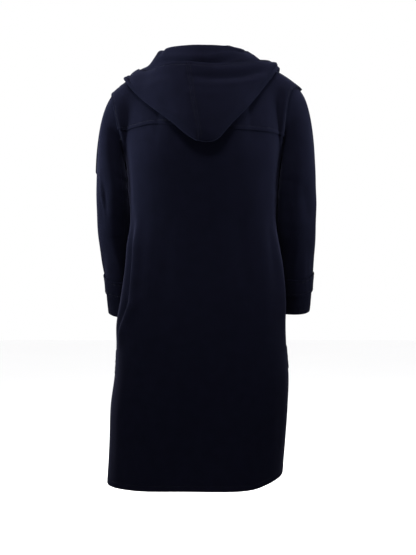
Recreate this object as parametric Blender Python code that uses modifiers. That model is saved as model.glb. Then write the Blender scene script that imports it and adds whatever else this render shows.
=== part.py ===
"""Long duffle coat in heavy wool, in the hollow shape it has when it is worn, with its hood down.

The origin is the middle of the neck opening, level with the neck seam at the back.
+X is the wearer's left, +Y is behind the wearer and +Z is up.
"""

import math

import bmesh
import bpy
import numpy as np
from mathutils import Matrix, Vector
from mathutils.bvhtree import BVHTree

# ---------------------------------------------------------------- driving dimensions, in metres

CLOTH = 0.003                # thickness of the wool
GAP = 0.0003                 # between pieces that are sewn together
SEAM_SHARE = 0.0004          # half of a seam's gap, as a share of the width across a panel
LAYER = CLOTH + GAP          # how far a piece that lies on another one is moved out

HEM_HEIGHT = -1.0635
HEM_RISE_RIGHT = 0.023       # the hem hangs higher on the wearer's right side
HEM_RISE_REACH = 0.29        # the share of the hem's width over which it rises
UNDERARM_HEIGHT = -0.262
UNDERARM_UP = 0.70           # the share of a panel's rows that lies below the underarm
SQUARENESS = 0.055           # how far a section of the body departs from an ellipse

NECK_HALF_WIDTH = 0.080
NECK_SIDE_HEIGHT = 0.000
NECK_BACK_DEPTH = 0.074
NECK_BACK_DROP = 0.012
NECK_FRONT_DEPTH = 0.086
NECK_FRONT_DROP = 0.080
NECK_START = 0.32            # the share of a panel's width that is one shoulder

SHOULDER_LEFT = 0.238
SHOULDER_RIGHT = -0.239
SHOULDER_CURVE = 2.85        # drop of the shoulder seam over its distance from the neck, squared
SHOULDER_TILT = 0.022        # the wearer's left shoulder is the lower one
SHOULDER_ROUND = 0.23        # how full the cloth passes over the shoulder seam
SEAM_BEND_LEFT = 0.02        # how far the left armhole bows outward, and the right one inward
SEAM_BEND_RIGHT = 0.14
ARMHOLE_SCOOP = 0.24
ARMHOLE_SCOOP_WIDTH = 0.075

YOKE_FRONT_HEIGHT = -0.150
OVERLAP = 0.060              # share of the front's width that each front passes the middle
RAMP_START = 0.370           # where the left front starts to rise over the right one
RAMP_END = 0.440

HOOD_PLACES = (0.0, 0.20, 0.40, 0.54, 0.58, 0.62, 0.80, 1.0)
FOLD_RADIUS = 0.0065         # of the turn at the bottom of the lowered hood
HOOD_FULLNESS = 0.012        # how far the hood's outer layer swells
HOOD_FLATTER = 0.85          # how much less of it there is where the hood crosses the left shoulder
HOOD_TUCK = 0.0050           # between the middle of the hood's cloth and what it lies on
SLEEVE_TUCK = 0.0028         # between a sleeve and the body
CHORD_SAG = 0.0010           # how much nearer the middle between two points may come
EDGE_REACH = 0.0005          # a point this far past a cover's edge isn't over it
NECK_SEAM = 0.0006           # between the neck's edge and the hood
SHOULDER_REACHES = (0.55, 0.60)   # places along the neck seam where the hood passes over a shoulder
NECK_FRONT_SHARE = 0.93      # the hood ends this far along the front of the neck

POCKET_BOTTOM = -0.950
POCKET_TOP = -0.738
POCKET_NEAR = 0.070          # share of the front's width from the side seam
POCKET_FAR = 0.370
POCKET_FULLNESS = 0.007
FLAP_BOTTOM = -0.794
FLAP_TOP = -0.722

TOGGLE_HEIGHTS = (-0.205, -0.340, -0.475, -0.610)
TOGGLE_LENGTH = 0.056
TOGGLE_RADIUS = 0.0072
TOGGLE_WAIST = 0.0050
CORD_RADIUS = 0.0017
LOOP_HALF_WIDTH = 0.0075
LOOP_RISE = 0.0010           # clears the front where it's hollow
LOOP_END = -0.012            # how far the loop passes the middle of the toggle
PATCH_WIDTH = 0.042
PATCH_TALL = 0.036
PATCH_THICKNESS = 0.0016
PATCH_OUT = 0.0705           # from the middle of the toggle to the middle of a patch
PATCH_ROUND = 0.28
PATCH_GAP = 0.0003           # more than between seams, because a patch bends less than the cloth

SLOPE_STEP = 0.0002          # in the shares across and up, to find the slopes of the body's cloth
HEAD_SHARE = 0.26            # the share of a sleeve's length that lies above its first free section

HEAD_STEPS = 7               # the numbers of steps between rows of points down a sleeve
ARM_STEPS = 8
STRAP_STEPS = 2
CUFF_STEPS = 2
SLEEVE_SEAM_STEPS = 3        # steps from the underarm up the armhole to a sleeve's seams
STRAP_LOW = 0.057            # above the edge of the cuff
STRAP_HIGH = 0.101
STRAP_FIRST = 0              # columns of the upper sleeve that the strap leaves free, behind and before
STRAP_LAST = 3
BUTTON_RADIUS = 0.0105
BUTTON_THICKNESS = 0.0035

# ---------------------------------------------------------------- sections, a row for each one

BODY_COLUMNS = ("height", "left", "right", "back", "front", "middle")
BODY_SECTIONS = (
    (-1.090, 0.2550, -0.1880, 0.152, 0.158, -0.004),
    (-0.960, 0.2480, -0.1980, 0.148, 0.152, -0.002),
    (-0.870, 0.2440, -0.2040, 0.145, 0.149, 0.000),
    (-0.790, 0.2330, -0.2060, 0.142, 0.145, 0.000),
    (-0.720, 0.2290, -0.1990, 0.138, 0.140, 0.000),
    (-0.660, 0.2290, -0.1955, 0.134, 0.136, 0.000),
    (-0.600, 0.2185, -0.1960, 0.119, 0.141, 0.010),
    (-0.500, 0.2040, -0.1880, 0.101, 0.144, 0.020),
    (-0.460, 0.2005, -0.1810, 0.099, 0.142, 0.020),
    (-0.405, 0.1905, -0.1730, 0.098, 0.140, 0.020),
    (-0.330, 0.1945, -0.1760, 0.106, 0.140, 0.016),
    (-0.240, 0.2030, -0.1830, 0.124, 0.134, 0.004),
)

# soft folds that run down the body; the angle is 0 at the left side seam and 90 at the middle back
FOLD_COLUMNS = ("angle", "lean", "low", "high", "width", "depth")
BODY_FOLDS = (
    (39.5, -12.0, -0.74, -0.33, 6.0, 0.009),
    (27.0, -14.0, -0.72, -0.35, 6.5, -0.010),
    (35.5, 26.0, -0.73, -0.57, 6.0, 0.008),
    (22.0, 24.0, -0.72, -0.57, 6.0, -0.008),
    (160.0, -12.0, -0.80, -0.40, 9.0, 0.006),
    (146.0, 8.0, -0.62, -0.34, 7.0, -0.004),
    (62.0, 6.0, -1.30, -0.72, 10.0, 0.004),
    (84.0, -4.0, -1.30, -0.80, 9.0, -0.004),
    (112.0, -6.0, -1.30, -0.70, 11.0, 0.004),
    (136.0, -8.0, -1.30, -0.78, 9.0, -0.004),
    (-24.0, -8.0, -0.80, -0.36, 9.0, 0.006),
    (-156.0, 9.0, -0.82, -0.38, 9.0, 0.006),
    (-60.0, 5.0, -1.30, -0.90, 10.0, -0.004),
    (-118.0, 5.0, -1.30, -0.88, 11.0, 0.004),
)

# the columns of points across a panel, from its side seam; the first ones are shared by
# the back and both fronts, so that their shoulder seams meet
SHOULDER_COLUMNS = (SEAM_SHARE, 0.035, POCKET_NEAR, 0.12, 0.17, 0.22, 0.27, NECK_START)
BACK_COLUMNS = (0.365, 0.41, 0.455)
FRONT_COLUMNS = (POCKET_FAR, RAMP_END, 0.47, 0.50, 0.53)
FRONT_EDGE = 0.5 + OVERLAP
FRONT_YOKE_START = FRONT_EDGE + 0.008

# the numbers of steps between the rows of points up a panel
HEM_STEPS = 2
POCKET_STEPS = 4
WAIST_STEPS = 7
ARMHOLE_STEPS = 4
YOKE_STEPS = 6

YOKE_COLUMNS = ("across", "height")
YOKE_BACK_EDGE = (
    (0.00, -0.168),
    (0.10, -0.171),
    (0.20, -0.166),
    (0.30, -0.161),
    (0.40, -0.163),
    (0.60, -0.174),
    (0.75, -0.178),
    (0.90, -0.182),
    (1.00, -0.184),
)

SLEEVE_COLUMNS = ("height", "outer", "across", "fore", "half_fore", "tilt")
SLEEVE_LEFT = (
    (-0.637, 0.2630, 0.0960, -0.116, 0.0540, 12.0),
    (-0.600, 0.2648, 0.0985, -0.102, 0.0570, 16.0),
    (-0.548, 0.2680, 0.0970, -0.084, 0.0610, 17.0),
    (-0.486, 0.2761, 0.0941, -0.064, 0.0660, 11.0),
    (-0.425, 0.2823, 0.0943, -0.042, 0.0700, 6.0),
    (-0.364, 0.2849, 0.0949, -0.026, 0.0730, 3.0),
    (-0.300, 0.2833, 0.0918, -0.014, 0.0740, 0.0),
)
SLEEVE_RIGHT = (
    (-0.630, 0.2722, 0.0948, -0.110, 0.0540, 12.0),
    (-0.600, 0.2742, 0.0957, -0.096, 0.0570, 16.0),
    (-0.548, 0.2768, 0.0983, -0.079, 0.0610, 16.0),
    (-0.486, 0.2798, 0.1008, -0.060, 0.0660, 10.0),
    (-0.425, 0.2810, 0.1125, -0.034, 0.0700, 5.0),
    (-0.364, 0.2803, 0.1113, -0.020, 0.0710, 2.0),
    (-0.300, 0.2789, 0.1044, -0.010, 0.0720, 0.0),
)

# creases around the sleeves; around is 0 at the underarm, 0.25 at the back and 0.5 outside
CREASE_COLUMNS = ("around", "lean", "low", "high", "width", "depth")
SLEEVE_CREASES = (
    (0.33, 0.10, 0.18, 0.56, 0.045, -0.004),
    (0.22, -0.16, 0.50, 0.86, 0.050, 0.004),
    (0.42, 0.14, 0.55, 0.90, 0.040, -0.003),
    (0.70, 0.10, 0.45, 0.80, 0.050, -0.005),
    (0.82, -0.12, 0.48, 0.78, 0.045, 0.004),
)

# sections of the hood, from the right end of its neck seam round the back to the left end
HOOD_COLUMNS = (
    "along",
    "roll_x", "roll_y", "roll_z",
    "fold_x", "fold_y", "fold_z",
    "rim_x", "rim_y", "rim_z",
)
HOOD_SECTIONS = (
    (-1.00, -0.031, -0.104, -0.036, -0.054, -0.122, -0.112, -0.042, -0.136, -0.080),
    (-0.82, -0.080, -0.082, 0.002, -0.124, -0.111, -0.081, -0.110, -0.119, -0.045),
    (-0.66, -0.103, -0.040, 0.024, -0.168, -0.056, -0.045, -0.152, -0.060, -0.018),
    (-0.50, -0.104, 0.008, 0.030, -0.176, 0.022, -0.020, -0.162, 0.016, 0.003),
    (-0.34, -0.088, 0.052, 0.031, -0.116, 0.092, -0.098, -0.134, 0.072, 0.003),
    (-0.17, -0.047, 0.086, 0.032, -0.060, 0.134, -0.160, -0.060, 0.112, -0.010),
    (-0.07, -0.018, 0.095, 0.032, -0.018, 0.149, -0.204, -0.003, 0.122, -0.012),
    (0.00, 0.004, 0.098, 0.032, 0.019, 0.150, -0.205, 0.047, 0.124, -0.008),
    (0.07, 0.026, 0.096, 0.033, 0.044, 0.147, -0.193, 0.068, 0.121, -0.008),
    (0.17, 0.054, 0.086, 0.034, 0.082, 0.134, -0.160, 0.092, 0.114, -0.010),
    (0.34, 0.103, 0.050, 0.033, 0.152, 0.084, -0.104, 0.133, 0.078, -0.018),
    (0.50, 0.123, 0.010, 0.022, 0.188, 0.036, -0.068, 0.159, 0.030, -0.034),
    (0.66, 0.109, -0.040, 0.008, 0.176, -0.050, -0.070, 0.152, -0.058, -0.046),
    (0.82, 0.080, -0.082, -0.008, 0.128, -0.117, -0.079, 0.114, -0.126, -0.046),
    (1.00, 0.033, -0.104, -0.036, 0.054, -0.122, -0.112, 0.044, -0.136, -0.082),
)

WOOL = ((0.010, 0.013, 0.030), 0.95)
CORD = ((0.030, 0.028, 0.026), 0.85)
HORN = ((0.090, 0.045, 0.020), 0.35)
LEATHER = ((0.020, 0.014, 0.011), 0.55)


# ---------------------------------------------------------------- curves and tables

def smooth_curve(places, values, place):
    """The smooth curve through the values, read at the given places."""
    slopes = np.gradient(values, places)
    place = np.clip(place, places[0], places[-1])
    left = np.clip(np.searchsorted(places, place, side="right") - 1, 0, len(places) - 2)
    span = places[left + 1] - places[left]
    share = (place - places[left]) / span
    return hermite(values[left], slopes[left] * span, values[left + 1], slopes[left + 1] * span, share)


def hermite(start, start_pull, end, end_pull, share):
    """A curve that leaves the start along one pull and reaches the end along the other."""
    square = share * share
    cube = square * share
    return (
        (2.0 * cube - 3.0 * square + 1.0) * start
        + (cube - 2.0 * square + share) * start_pull
        + (3.0 * square - 2.0 * cube) * end
        + (cube - square) * end_pull
    )


class Table:
    """Rows of named columns, ordered by the first one."""

    def __init__(self, columns, rows):
        self.columns = columns
        self.rows = np.array(rows, dtype=float)

    def column(self, name):
        return self.rows[:, self.columns.index(name)]

    def at(self, name, place):
        """A column's value at a place in the first column."""
        return smooth_curve(self.rows[:, 0], self.column(name), place)

    def point(self, name, place):
        """The point whose columns are name_x, name_y and name_z."""
        return np.stack([self.at(name + axis, place) for axis in ("_x", "_y", "_z")], axis=-1)


BODY = Table(BODY_COLUMNS, BODY_SECTIONS)
FOLDS = Table(FOLD_COLUMNS, BODY_FOLDS)
YOKE_EDGE = Table(YOKE_COLUMNS, YOKE_BACK_EDGE)
SLEEVES = {1: Table(SLEEVE_COLUMNS, SLEEVE_LEFT), -1: Table(SLEEVE_COLUMNS, SLEEVE_RIGHT)}
CREASES = Table(CREASE_COLUMNS, SLEEVE_CREASES)
HOOD = Table(HOOD_COLUMNS, HOOD_SECTIONS)


def ease(share):
    """0 to 1, level at both ends."""
    share = np.clip(share, 0.0, 1.0)
    return share * share * (3.0 - 2.0 * share)


def window(place, low, high):
    """A hump that is 1 in the middle of a stretch and 0 at its ends."""
    share = np.clip((place - low) / (high - low), 0.0, 1.0)
    return np.sin(math.pi * share) ** 2


def unit(vectors):
    return vectors / np.linalg.norm(vectors, axis=-1, keepdims=True)


def vector(x, y, z):
    return np.stack(np.broadcast_arrays(x, y, z), axis=-1)


# ---------------------------------------------------------------- the body's surface

def body_ring(angle, height):
    """A point on the inside of the cloth; the angle is 0 at the left side seam, in radians."""
    left = BODY.at("left", height)
    right = BODY.at("right", height)
    sine = (np.sin(angle) + SQUARENESS * np.sin(3.0 * angle)) / (1.0 - SQUARENESS)
    cosine = (np.cos(angle) - SQUARENESS * np.cos(3.0 * angle)) / (1.0 - SQUARENESS)
    depth = np.where(sine > 0.0, BODY.at("back", height), BODY.at("front", height))
    fold = 0.0
    for row in FOLDS.rows:
        fold_angle, lean, low, high, width, fold_depth = row
        middle = fold_angle + lean * (height - 0.5 * (low + high)) / (high - low)
        turn = (np.degrees(angle) - middle + 180.0) % 360.0 - 180.0
        fold = fold + fold_depth * window(height, low, high) * np.exp(-(turn / width) ** 2)
    across = 0.5 * (left + right) + (0.5 * (left - right) + fold) * cosine
    return vector(across, BODY.at("middle", height) + (depth + fold) * sine, height)


def top_edge(side, across):
    """The shoulder seams and the neck edge; side is 1 for the back and -1 for the front."""
    turn = math.pi * np.clip((across - NECK_START) / (1.0 - 2.0 * NECK_START), 0.0, 1.0)
    sine = np.sin(turn)
    if side > 0:
        neck = vector(NECK_HALF_WIDTH * np.cos(turn), NECK_BACK_DEPTH * sine,
                      NECK_SIDE_HEIGHT - NECK_BACK_DROP * sine ** 2)
    else:
        neck = vector(NECK_HALF_WIDTH * np.cos(turn), -NECK_FRONT_DEPTH * sine,
                      NECK_SIDE_HEIGHT - NECK_FRONT_DROP * sine ** 1.5)
    left = across < 0.5
    out = np.where(left, 1.0 - across / NECK_START, 1.0 - (1.0 - across) / NECK_START)
    reach = np.where(left, SHOULDER_LEFT - NECK_HALF_WIDTH, -SHOULDER_RIGHT - NECK_HALF_WIDTH) * out
    drop = SHOULDER_CURVE * reach ** 2
    shoulder = vector(np.where(left, 1.0, -1.0) * (NECK_HALF_WIDTH + reach), 0.0,
                      NECK_SIDE_HEIGHT - drop)
    edge = np.where((out > 0.0)[..., None], shoulder, neck)
    edge[..., 2] -= SHOULDER_TILT * edge[..., 0]
    return edge


def top_pull(side, across):
    """How the cloth reaches the top edge."""
    left = across < 0.5
    near = np.where(left, across, 1.0 - across)
    out = np.clip(1.0 - near / NECK_START, 0.0, 1.0)
    inside = ease((near - NECK_START) / (0.5 - NECK_START))
    outward = np.where(left, -SEAM_BEND_LEFT, -SEAM_BEND_RIGHT) * out ** 2
    reach = np.where(left, SHOULDER_LEFT - NECK_HALF_WIDTH, SHOULDER_RIGHT + NECK_HALF_WIDTH) * out
    slope = -2.0 * SHOULDER_CURVE * reach - SHOULDER_TILT
    forward = SHOULDER_ROUND * (1.0 - inside) + (0.11 if side > 0 else 0.05) * inside
    rise = (0.24 if side > 0 else 0.17) * inside
    return vector(outward, -side * forward, rise + outward * slope)


def body_point(side, across, up):
    """A point inside the back (1) or the front (-1): across from the left side seam, up from the hem."""
    across = np.asarray(across, dtype=float)
    up = np.asarray(up, dtype=float)
    across, up = np.broadcast_arrays(across, up)
    angle = side * math.pi * across
    hem = HEM_HEIGHT + HEM_RISE_RIGHT * np.exp(-((np.cos(angle) + 1.0) / HEM_RISE_REACH) ** 2)
    share = np.clip(up / UNDERARM_UP, None, 1.0)
    lower = body_ring(angle, hem + (UNDERARM_HEIGHT - hem) * share)
    start = body_ring(angle, np.full_like(across, UNDERARM_HEIGHT))
    below = body_ring(angle, np.full_like(across, UNDERARM_HEIGHT - 0.01))
    edge = np.minimum(across, 1.0 - across)
    end = top_edge(side, across)
    rise = end[..., 2] - UNDERARM_HEIGHT
    start_pull = (start - below) / 0.01 * rise[..., None]
    start_pull[..., 1] += side * ARMHOLE_SCOOP * np.exp(-(edge / ARMHOLE_SCOOP_WIDTH) ** 2)
    over = np.clip((up - UNDERARM_UP) / (1.0 - UNDERARM_UP), 0.0, None)
    upper = hermite(start, start_pull, end, top_pull(side, across), over[..., None])
    return np.where((up > UNDERARM_UP)[..., None], upper, lower)


def body_slopes(side, across, up):
    """How the surface runs across and up at a point."""
    low = np.maximum(up - SLOPE_STEP, 0.0)
    high = np.minimum(up + SLOPE_STEP, 1.0)
    right = np.minimum(across + SLOPE_STEP, 1.0)
    left = np.maximum(across - SLOPE_STEP, 0.0)
    slope_across = (body_point(side, right, up) - body_point(side, left, up)) / (right - left)[..., None]
    slope_up = (body_point(side, across, high) - body_point(side, across, low)) / (high - low)[..., None]
    return slope_across, slope_up


def body_normal(side, across, up):
    """The direction out of the cloth."""
    across, up = np.broadcast_arrays(np.asarray(across, dtype=float), np.asarray(up, dtype=float))
    slope_across, slope_up = body_slopes(side, across, up)
    return side * unit(np.cross(slope_across, slope_up))


def up_at_height(side, across, height):
    """The share up the panel at which a column reaches a height."""
    ups = np.linspace(0.0, 1.0, 201)
    across, height = np.broadcast_arrays(np.asarray(across, dtype=float), np.asarray(height, dtype=float))
    columns = np.maximum.accumulate(body_point(side, across[..., None], ups)[..., 2], axis=-1)
    found = np.empty(across.shape)
    for place in np.ndindex(across.shape):
        found[place] = np.interp(height[place], columns[place], ups)
    return found


def front_share(sideways, height):
    """The shares across and up the front of the place that lies sideways of the middle, at a height."""
    sideways = np.asarray(sideways, dtype=float)
    sideways, height = np.broadcast_arrays(sideways, np.asarray(height, dtype=float))
    across = np.full_like(sideways, 0.5)
    middle = body_point(-1, across, up_at_height(-1, across, height))[..., 0]
    for _ in range(5):
        up = up_at_height(-1, across, height)
        slope = body_slopes(-1, across, up)[0][..., 0]
        across = across + (middle + sideways - body_point(-1, across, up)[..., 0]) / slope
    return across, up_at_height(-1, across, height)


# ---------------------------------------------------------------- solids

def new_material(name, look):
    colour, roughness = look
    material = bpy.data.materials.new(name)
    material.use_nodes = True
    shader = material.node_tree.nodes["Principled BSDF"]
    shader.inputs["Base Color"].default_value = (*colour, 1.0)
    shader.inputs["Roughness"].default_value = roughness
    shader.inputs["Metallic"].default_value = 0.0
    return material


def add_object(name, mesh, look):
    item = bpy.data.objects.new(name, mesh)
    coat.objects.link(item)
    item.data.materials.clear()
    item.data.materials.append(new_material(name, look))
    return item


def wall(name, inner, outer, look=WOOL):
    """The closed solid between two grids of points that have the same rows and columns."""
    rows, columns = inner.shape[:2]
    points = np.concatenate([inner.reshape(-1, 3), outer.reshape(-1, 3)])
    inside = np.arange(rows * columns).reshape(rows, columns)
    outside = inside + rows * columns
    faces = []
    for row in range(rows - 1):
        for column in range(columns - 1):
            corner = (row, column)
            right = (row, column + 1)
            above = (row + 1, column)
            across = (row + 1, column + 1)
            for triangle in ((corner, right, across), (corner, across, above)):
                faces.append([int(outside[place]) for place in triangle])
                faces.append([int(inside[place]) for place in reversed(triangle)])
    rim = [((end, column), (end, column + 1)) for end in (0, rows - 1) for column in range(columns - 1)]
    rim += [((row, end), (row + 1, end)) for end in (0, columns - 1) for row in range(rows - 1)]
    for here, there in rim:
        faces.append([int(inside[here]), int(inside[there]), int(outside[there])])
        faces.append([int(inside[here]), int(outside[there]), int(outside[here])])
    mesh = bpy.data.meshes.new(name)
    mesh.from_pydata([tuple(point) for point in points], [], faces)
    work = bmesh.new()
    work.from_mesh(mesh)
    bmesh.ops.recalc_face_normals(work, faces=work.faces)
    work.to_mesh(mesh)
    work.free()
    mesh.shade_smooth()
    mesh.set_sharp_from_angle(angle=math.radians(50.0))
    return add_object(name, mesh, look)


class Panel:
    """A grid of points on the body's surface, with the directions out of the cloth."""

    def __init__(self, side, across, up):
        self.side = side
        self.across, self.up = np.broadcast_arrays(across, up)
        self.base = body_point(side, self.across, self.up)
        self.out = body_normal(side, self.across, self.up)

    def piece(self, name, lift=0.0, thickness=CLOTH, look=WOOL, rows=slice(None), columns=slice(None)):
        """The solid of a stretch of rows and columns, moved out by lift."""
        base = self.base[rows, columns]
        out = self.out[rows, columns]
        lift = np.broadcast_to(lift, base.shape[:2])[..., None]
        return wall(name, base + out * lift, base + out * (lift + thickness), look)

    def outside(self, lift, rows=slice(None), columns=slice(None)):
        """The grid of points moved out by lift, ordered for a cover."""
        lift = np.broadcast_to(lift, self.across.shape)[..., None]
        grid = (self.base + self.out * lift)[rows, columns]
        return grid if self.side > 0 else grid[:, ::-1]

    def near(self, across):
        """The number of the column at a share across."""
        return int(np.argmin(np.abs(self.across[0] - across)))


def hem_share(height):
    """The share up a panel of a height below the underarm."""
    return (height - HEM_HEIGHT) / (UNDERARM_HEIGHT - HEM_HEIGHT) * UNDERARM_UP


def steps(start, end, count):
    """The places from start to end, without the end."""
    return start + (end - start) * np.arange(count)[:, None] / count


def panel_rows(yoke_edge):
    """Rows up a panel, which follow its pocket and the edge of its yoke."""
    top = 1.0 - SEAM_SHARE / 2.0
    width = np.ones_like(yoke_edge)
    lower = [
        steps(0.0, hem_share(POCKET_BOTTOM), HEM_STEPS),
        steps(hem_share(POCKET_BOTTOM), hem_share(FLAP_BOTTOM), POCKET_STEPS),
        steps(hem_share(FLAP_BOTTOM), hem_share(POCKET_TOP), 2),
        steps(hem_share(POCKET_TOP), hem_share(FLAP_TOP), 1),
        steps(hem_share(FLAP_TOP), UNDERARM_UP, WAIST_STEPS),
        steps(UNDERARM_UP, yoke_edge, ARMHOLE_STEPS),
        steps(yoke_edge, top, YOKE_STEPS),
        top,
    ]
    return np.concatenate([part * width for part in lower])


POCKET_ROW = HEM_STEPS
FLAP_ROW = POCKET_ROW + POCKET_STEPS
POCKET_TOP_ROW = FLAP_ROW + 2
FLAP_TOP_ROW = POCKET_TOP_ROW + 1
UNDERARM_ROW = FLAP_TOP_ROW + WAIST_STEPS
YOKE_ROW = UNDERARM_ROW + ARMHOLE_STEPS


def make_panel(side, columns):
    across = np.array(columns)[None, :]
    if side > 0:
        yoke_edge = up_at_height(side, across, YOKE_EDGE.at("height", across))
    else:
        yoke_edge = up_at_height(side, across, YOKE_FRONT_HEIGHT)
    return Panel(side, across, panel_rows(yoke_edge))


def mirrored(columns):
    return tuple(1.0 - column for column in reversed(columns))


def front_lift(across):
    """The left front is moved out where it laps over the right one."""
    return LAYER * np.clip((across - RAMP_START) / (RAMP_END - RAMP_START), 0.0, 1.0)


def build_body():
    """The back, the fronts and the second layer over the shoulders."""
    half = SHOULDER_COLUMNS + BACK_COLUMNS
    back = make_panel(1, half + (0.5,) + mirrored(half))
    left = make_panel(-1, SHOULDER_COLUMNS + FRONT_COLUMNS + (FRONT_EDGE,))
    right = make_panel(-1, (1.0 - FRONT_EDGE, 0.47, 0.50, 0.53, FRONT_YOKE_START, 0.6)
                       + mirrored(SHOULDER_COLUMNS + (POCKET_FAR,)))
    lapped = front_lift(left.across)
    back.piece("back_panel")
    left.piece("front_left", lapped)
    right.piece("front_right")
    yoke = slice(YOKE_ROW, None)
    back.piece("yoke_back", LAYER, rows=yoke)
    left.piece("yoke_front_left", LAYER + lapped[yoke], rows=yoke)
    right.piece("yoke_front_right", LAYER, rows=yoke, columns=slice(right.near(FRONT_YOKE_START), None))
    build_pocket("left", left, left.near(POCKET_NEAR), left.near(POCKET_FAR))
    build_pocket("right", right, right.near(1.0 - POCKET_FAR), right.near(1.0 - POCKET_NEAR))
    return back, left, right


def build_pocket(word, front, first, last):
    """A patch pocket and its flap, on the rows and columns of a front."""
    columns = slice(first, last + 1)
    side = np.abs(np.linspace(-1.0, 1.0, last - first + 1))[None, :]
    rows = slice(POCKET_ROW, POCKET_TOP_ROW + 1)
    climb = np.linspace(0.0, 1.0, POCKET_TOP_ROW - POCKET_ROW + 1)[:, None]
    full = POCKET_FULLNESS * (1.0 - side ** 4) * (1.0 - (1.0 - climb) ** 3)
    front.piece("pocket_" + word, LAYER + full, rows=rows, columns=columns)
    rows = slice(FLAP_ROW, FLAP_TOP_ROW + 1)
    over = LAYER + full[FLAP_ROW - POCKET_ROW:]
    over = np.concatenate([over, np.zeros_like(over[:1])])
    front.piece("flap_" + word, LAYER + over, rows=rows, columns=columns)


# ---------------------------------------------------------------- sleeves

def armhole(hand, around):
    """The armhole's edge, with the directions out of the cloth and into the armhole."""
    back = around <= 0.5
    climb = np.where(back, around, 1.0 - around) * 2.0
    up = UNDERARM_UP + (1.0 - UNDERARM_UP) * climb * 0.9999
    edge = np.full_like(up, 0.0 if hand > 0 else 1.0)
    points = []
    outs = []
    intos = []
    for side in (1, -1):
        slope_across, slope_up = body_slopes(side, edge, up)
        out = side * unit(np.cross(slope_across, slope_up))
        into = unit(np.cross(out, unit(slope_up)))
        into = into * np.sign(np.sum(into * slope_across, axis=-1, keepdims=True)) * -hand
        points.append(body_point(side, edge, up))
        outs.append(out)
        intos.append(into)
    chosen = back[..., None]
    underarm = (climb < 0.0001)[..., None]
    out = np.where(underarm, unit(outs[0] + outs[1]), np.where(chosen, outs[0], outs[1]))
    into = np.where(underarm, unit(intos[0] + intos[1]), np.where(chosen, intos[0], intos[1]))
    return np.where(chosen, points[0], points[1]), out, into


def sleeve_ring(hand, around, height):
    """A point on the outside of the free part of a sleeve."""
    table = SLEEVES[hand]
    half = 0.5 * table.at("across", height)
    turn = 2.0 * math.pi * around
    fore = table.at("half_fore", height) * np.sin(turn)
    tilt = np.radians(table.at("tilt", height))
    outer = table.at("outer", height) - half - half * np.cos(turn)
    forward = table.at("fore", height) + fore * np.cos(tilt)
    return vector(hand * outer, forward, height - fore * np.sin(tilt))


def sleeve_point(hand, around, along):
    """A point on the outside of a sleeve: along is 0 at the armhole and 1 at the cuff."""
    around, along = np.broadcast_arrays(np.asarray(around, dtype=float), np.asarray(along, dtype=float))
    table = SLEEVES[hand]
    first = table.rows[-1, 0]
    last = table.rows[0, 0]
    edge, out, into = armhole(hand, around % 1.0)
    upward = np.clip(1.0 - np.abs((around % 1.0) - 0.5) * 2.0, 0.0, 1.0)
    turn = np.radians(30.0 - 40.0 * ease(upward) ** 2)[..., None]
    leave = into * np.cos(turn) + out * np.sin(turn)
    start = edge + into * GAP - out * (GAP * ease(upward))[..., None]
    ring = sleeve_ring(hand, around, np.full_like(around, first))
    below = sleeve_ring(hand, around, np.full_like(around, first - 0.01))
    reach = (0.035 + 0.145 * ease(upward))[..., None]
    settle = (0.040 + 0.190 * ease(upward))[..., None]
    share = np.clip(along / HEAD_SHARE, 0.0, 1.0)
    head = hermite(start, leave * reach, ring, unit(below - ring) * settle, share[..., None])
    down = np.clip((along - HEAD_SHARE) / (1.0 - HEAD_SHARE), 0.0, 1.0)
    free = sleeve_ring(hand, around, first + (last - first) * down)
    point = np.where((along > HEAD_SHARE)[..., None], free, head)
    return point


def sleeve_normal(hand, around, along):
    """The direction out of a sleeve."""
    high = np.minimum(along + SLOPE_STEP, 1.0)
    low = np.maximum(along - SLOPE_STEP, 0.0)
    slope_along = sleeve_point(hand, around, high) - sleeve_point(hand, around, low)
    slope_around = sleeve_point(hand, around + SLOPE_STEP, along) - sleeve_point(hand, around - SLOPE_STEP, along)
    return hand * unit(np.cross(slope_around, slope_along))


def sleeve_surface(hand, around, along):
    """The outside of a sleeve with its creases, and the direction out of it."""
    around, along = np.broadcast_arrays(np.asarray(around, dtype=float), np.asarray(along, dtype=float))
    out = sleeve_normal(hand, around, along)
    crease = 0.0
    for row in CREASES.rows:
        place, lean, low, high, width, depth = row
        middle = place + lean * (along - 0.5 * (low + high)) / (high - low)
        crease = crease + depth * window(along, low, high) * np.exp(-((around - middle) / width) ** 2)
    return sleeve_point(hand, around, along) + out * np.asarray(crease)[..., None], out


def sleeve_rows():
    """Rows down a sleeve, with one at each edge of the strap at the cuff."""
    table = SLEEVES[1]
    share = (1.0 - HEAD_SHARE) / (table.rows[-1, 0] - table.rows[0, 0])
    strap_high = 1.0 - STRAP_HIGH * share
    strap_low = 1.0 - STRAP_LOW * share
    stretches = (
        steps(0.0, HEAD_SHARE, HEAD_STEPS),
        steps(HEAD_SHARE, strap_high, ARM_STEPS),
        steps(strap_high, strap_low, STRAP_STEPS),
        steps(strap_low, 1.0, CUFF_STEPS),
        np.ones((1, 1)),
    )
    return np.concatenate(stretches)


def sleeve_columns(back, front, edge):
    """The places round a sleeve that meet the rows of points along the armhole."""
    behind, before = (0.5 * (panel.up[UNDERARM_ROW:-1, edge] - UNDERARM_UP) / (1.0 - UNDERARM_UP)
                      for panel in (back, front))
    return np.concatenate([behind, [0.5], 1.0 - before[::-1]])


def seamed(grid, out, columns):
    """The chosen columns of a grid, drawn in by half a seam's gap at both ends."""
    grid = grid[:, columns].copy()
    ends = ((0, 1), (-1, -2))
    pulls = [unit(grid[:, inner] - grid[:, end]) * GAP * 0.5 for end, inner in ends]
    for (end, _), pull in zip(ends, pulls):
        grid[:, end] += pull
    return grid, out[:, columns]


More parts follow.
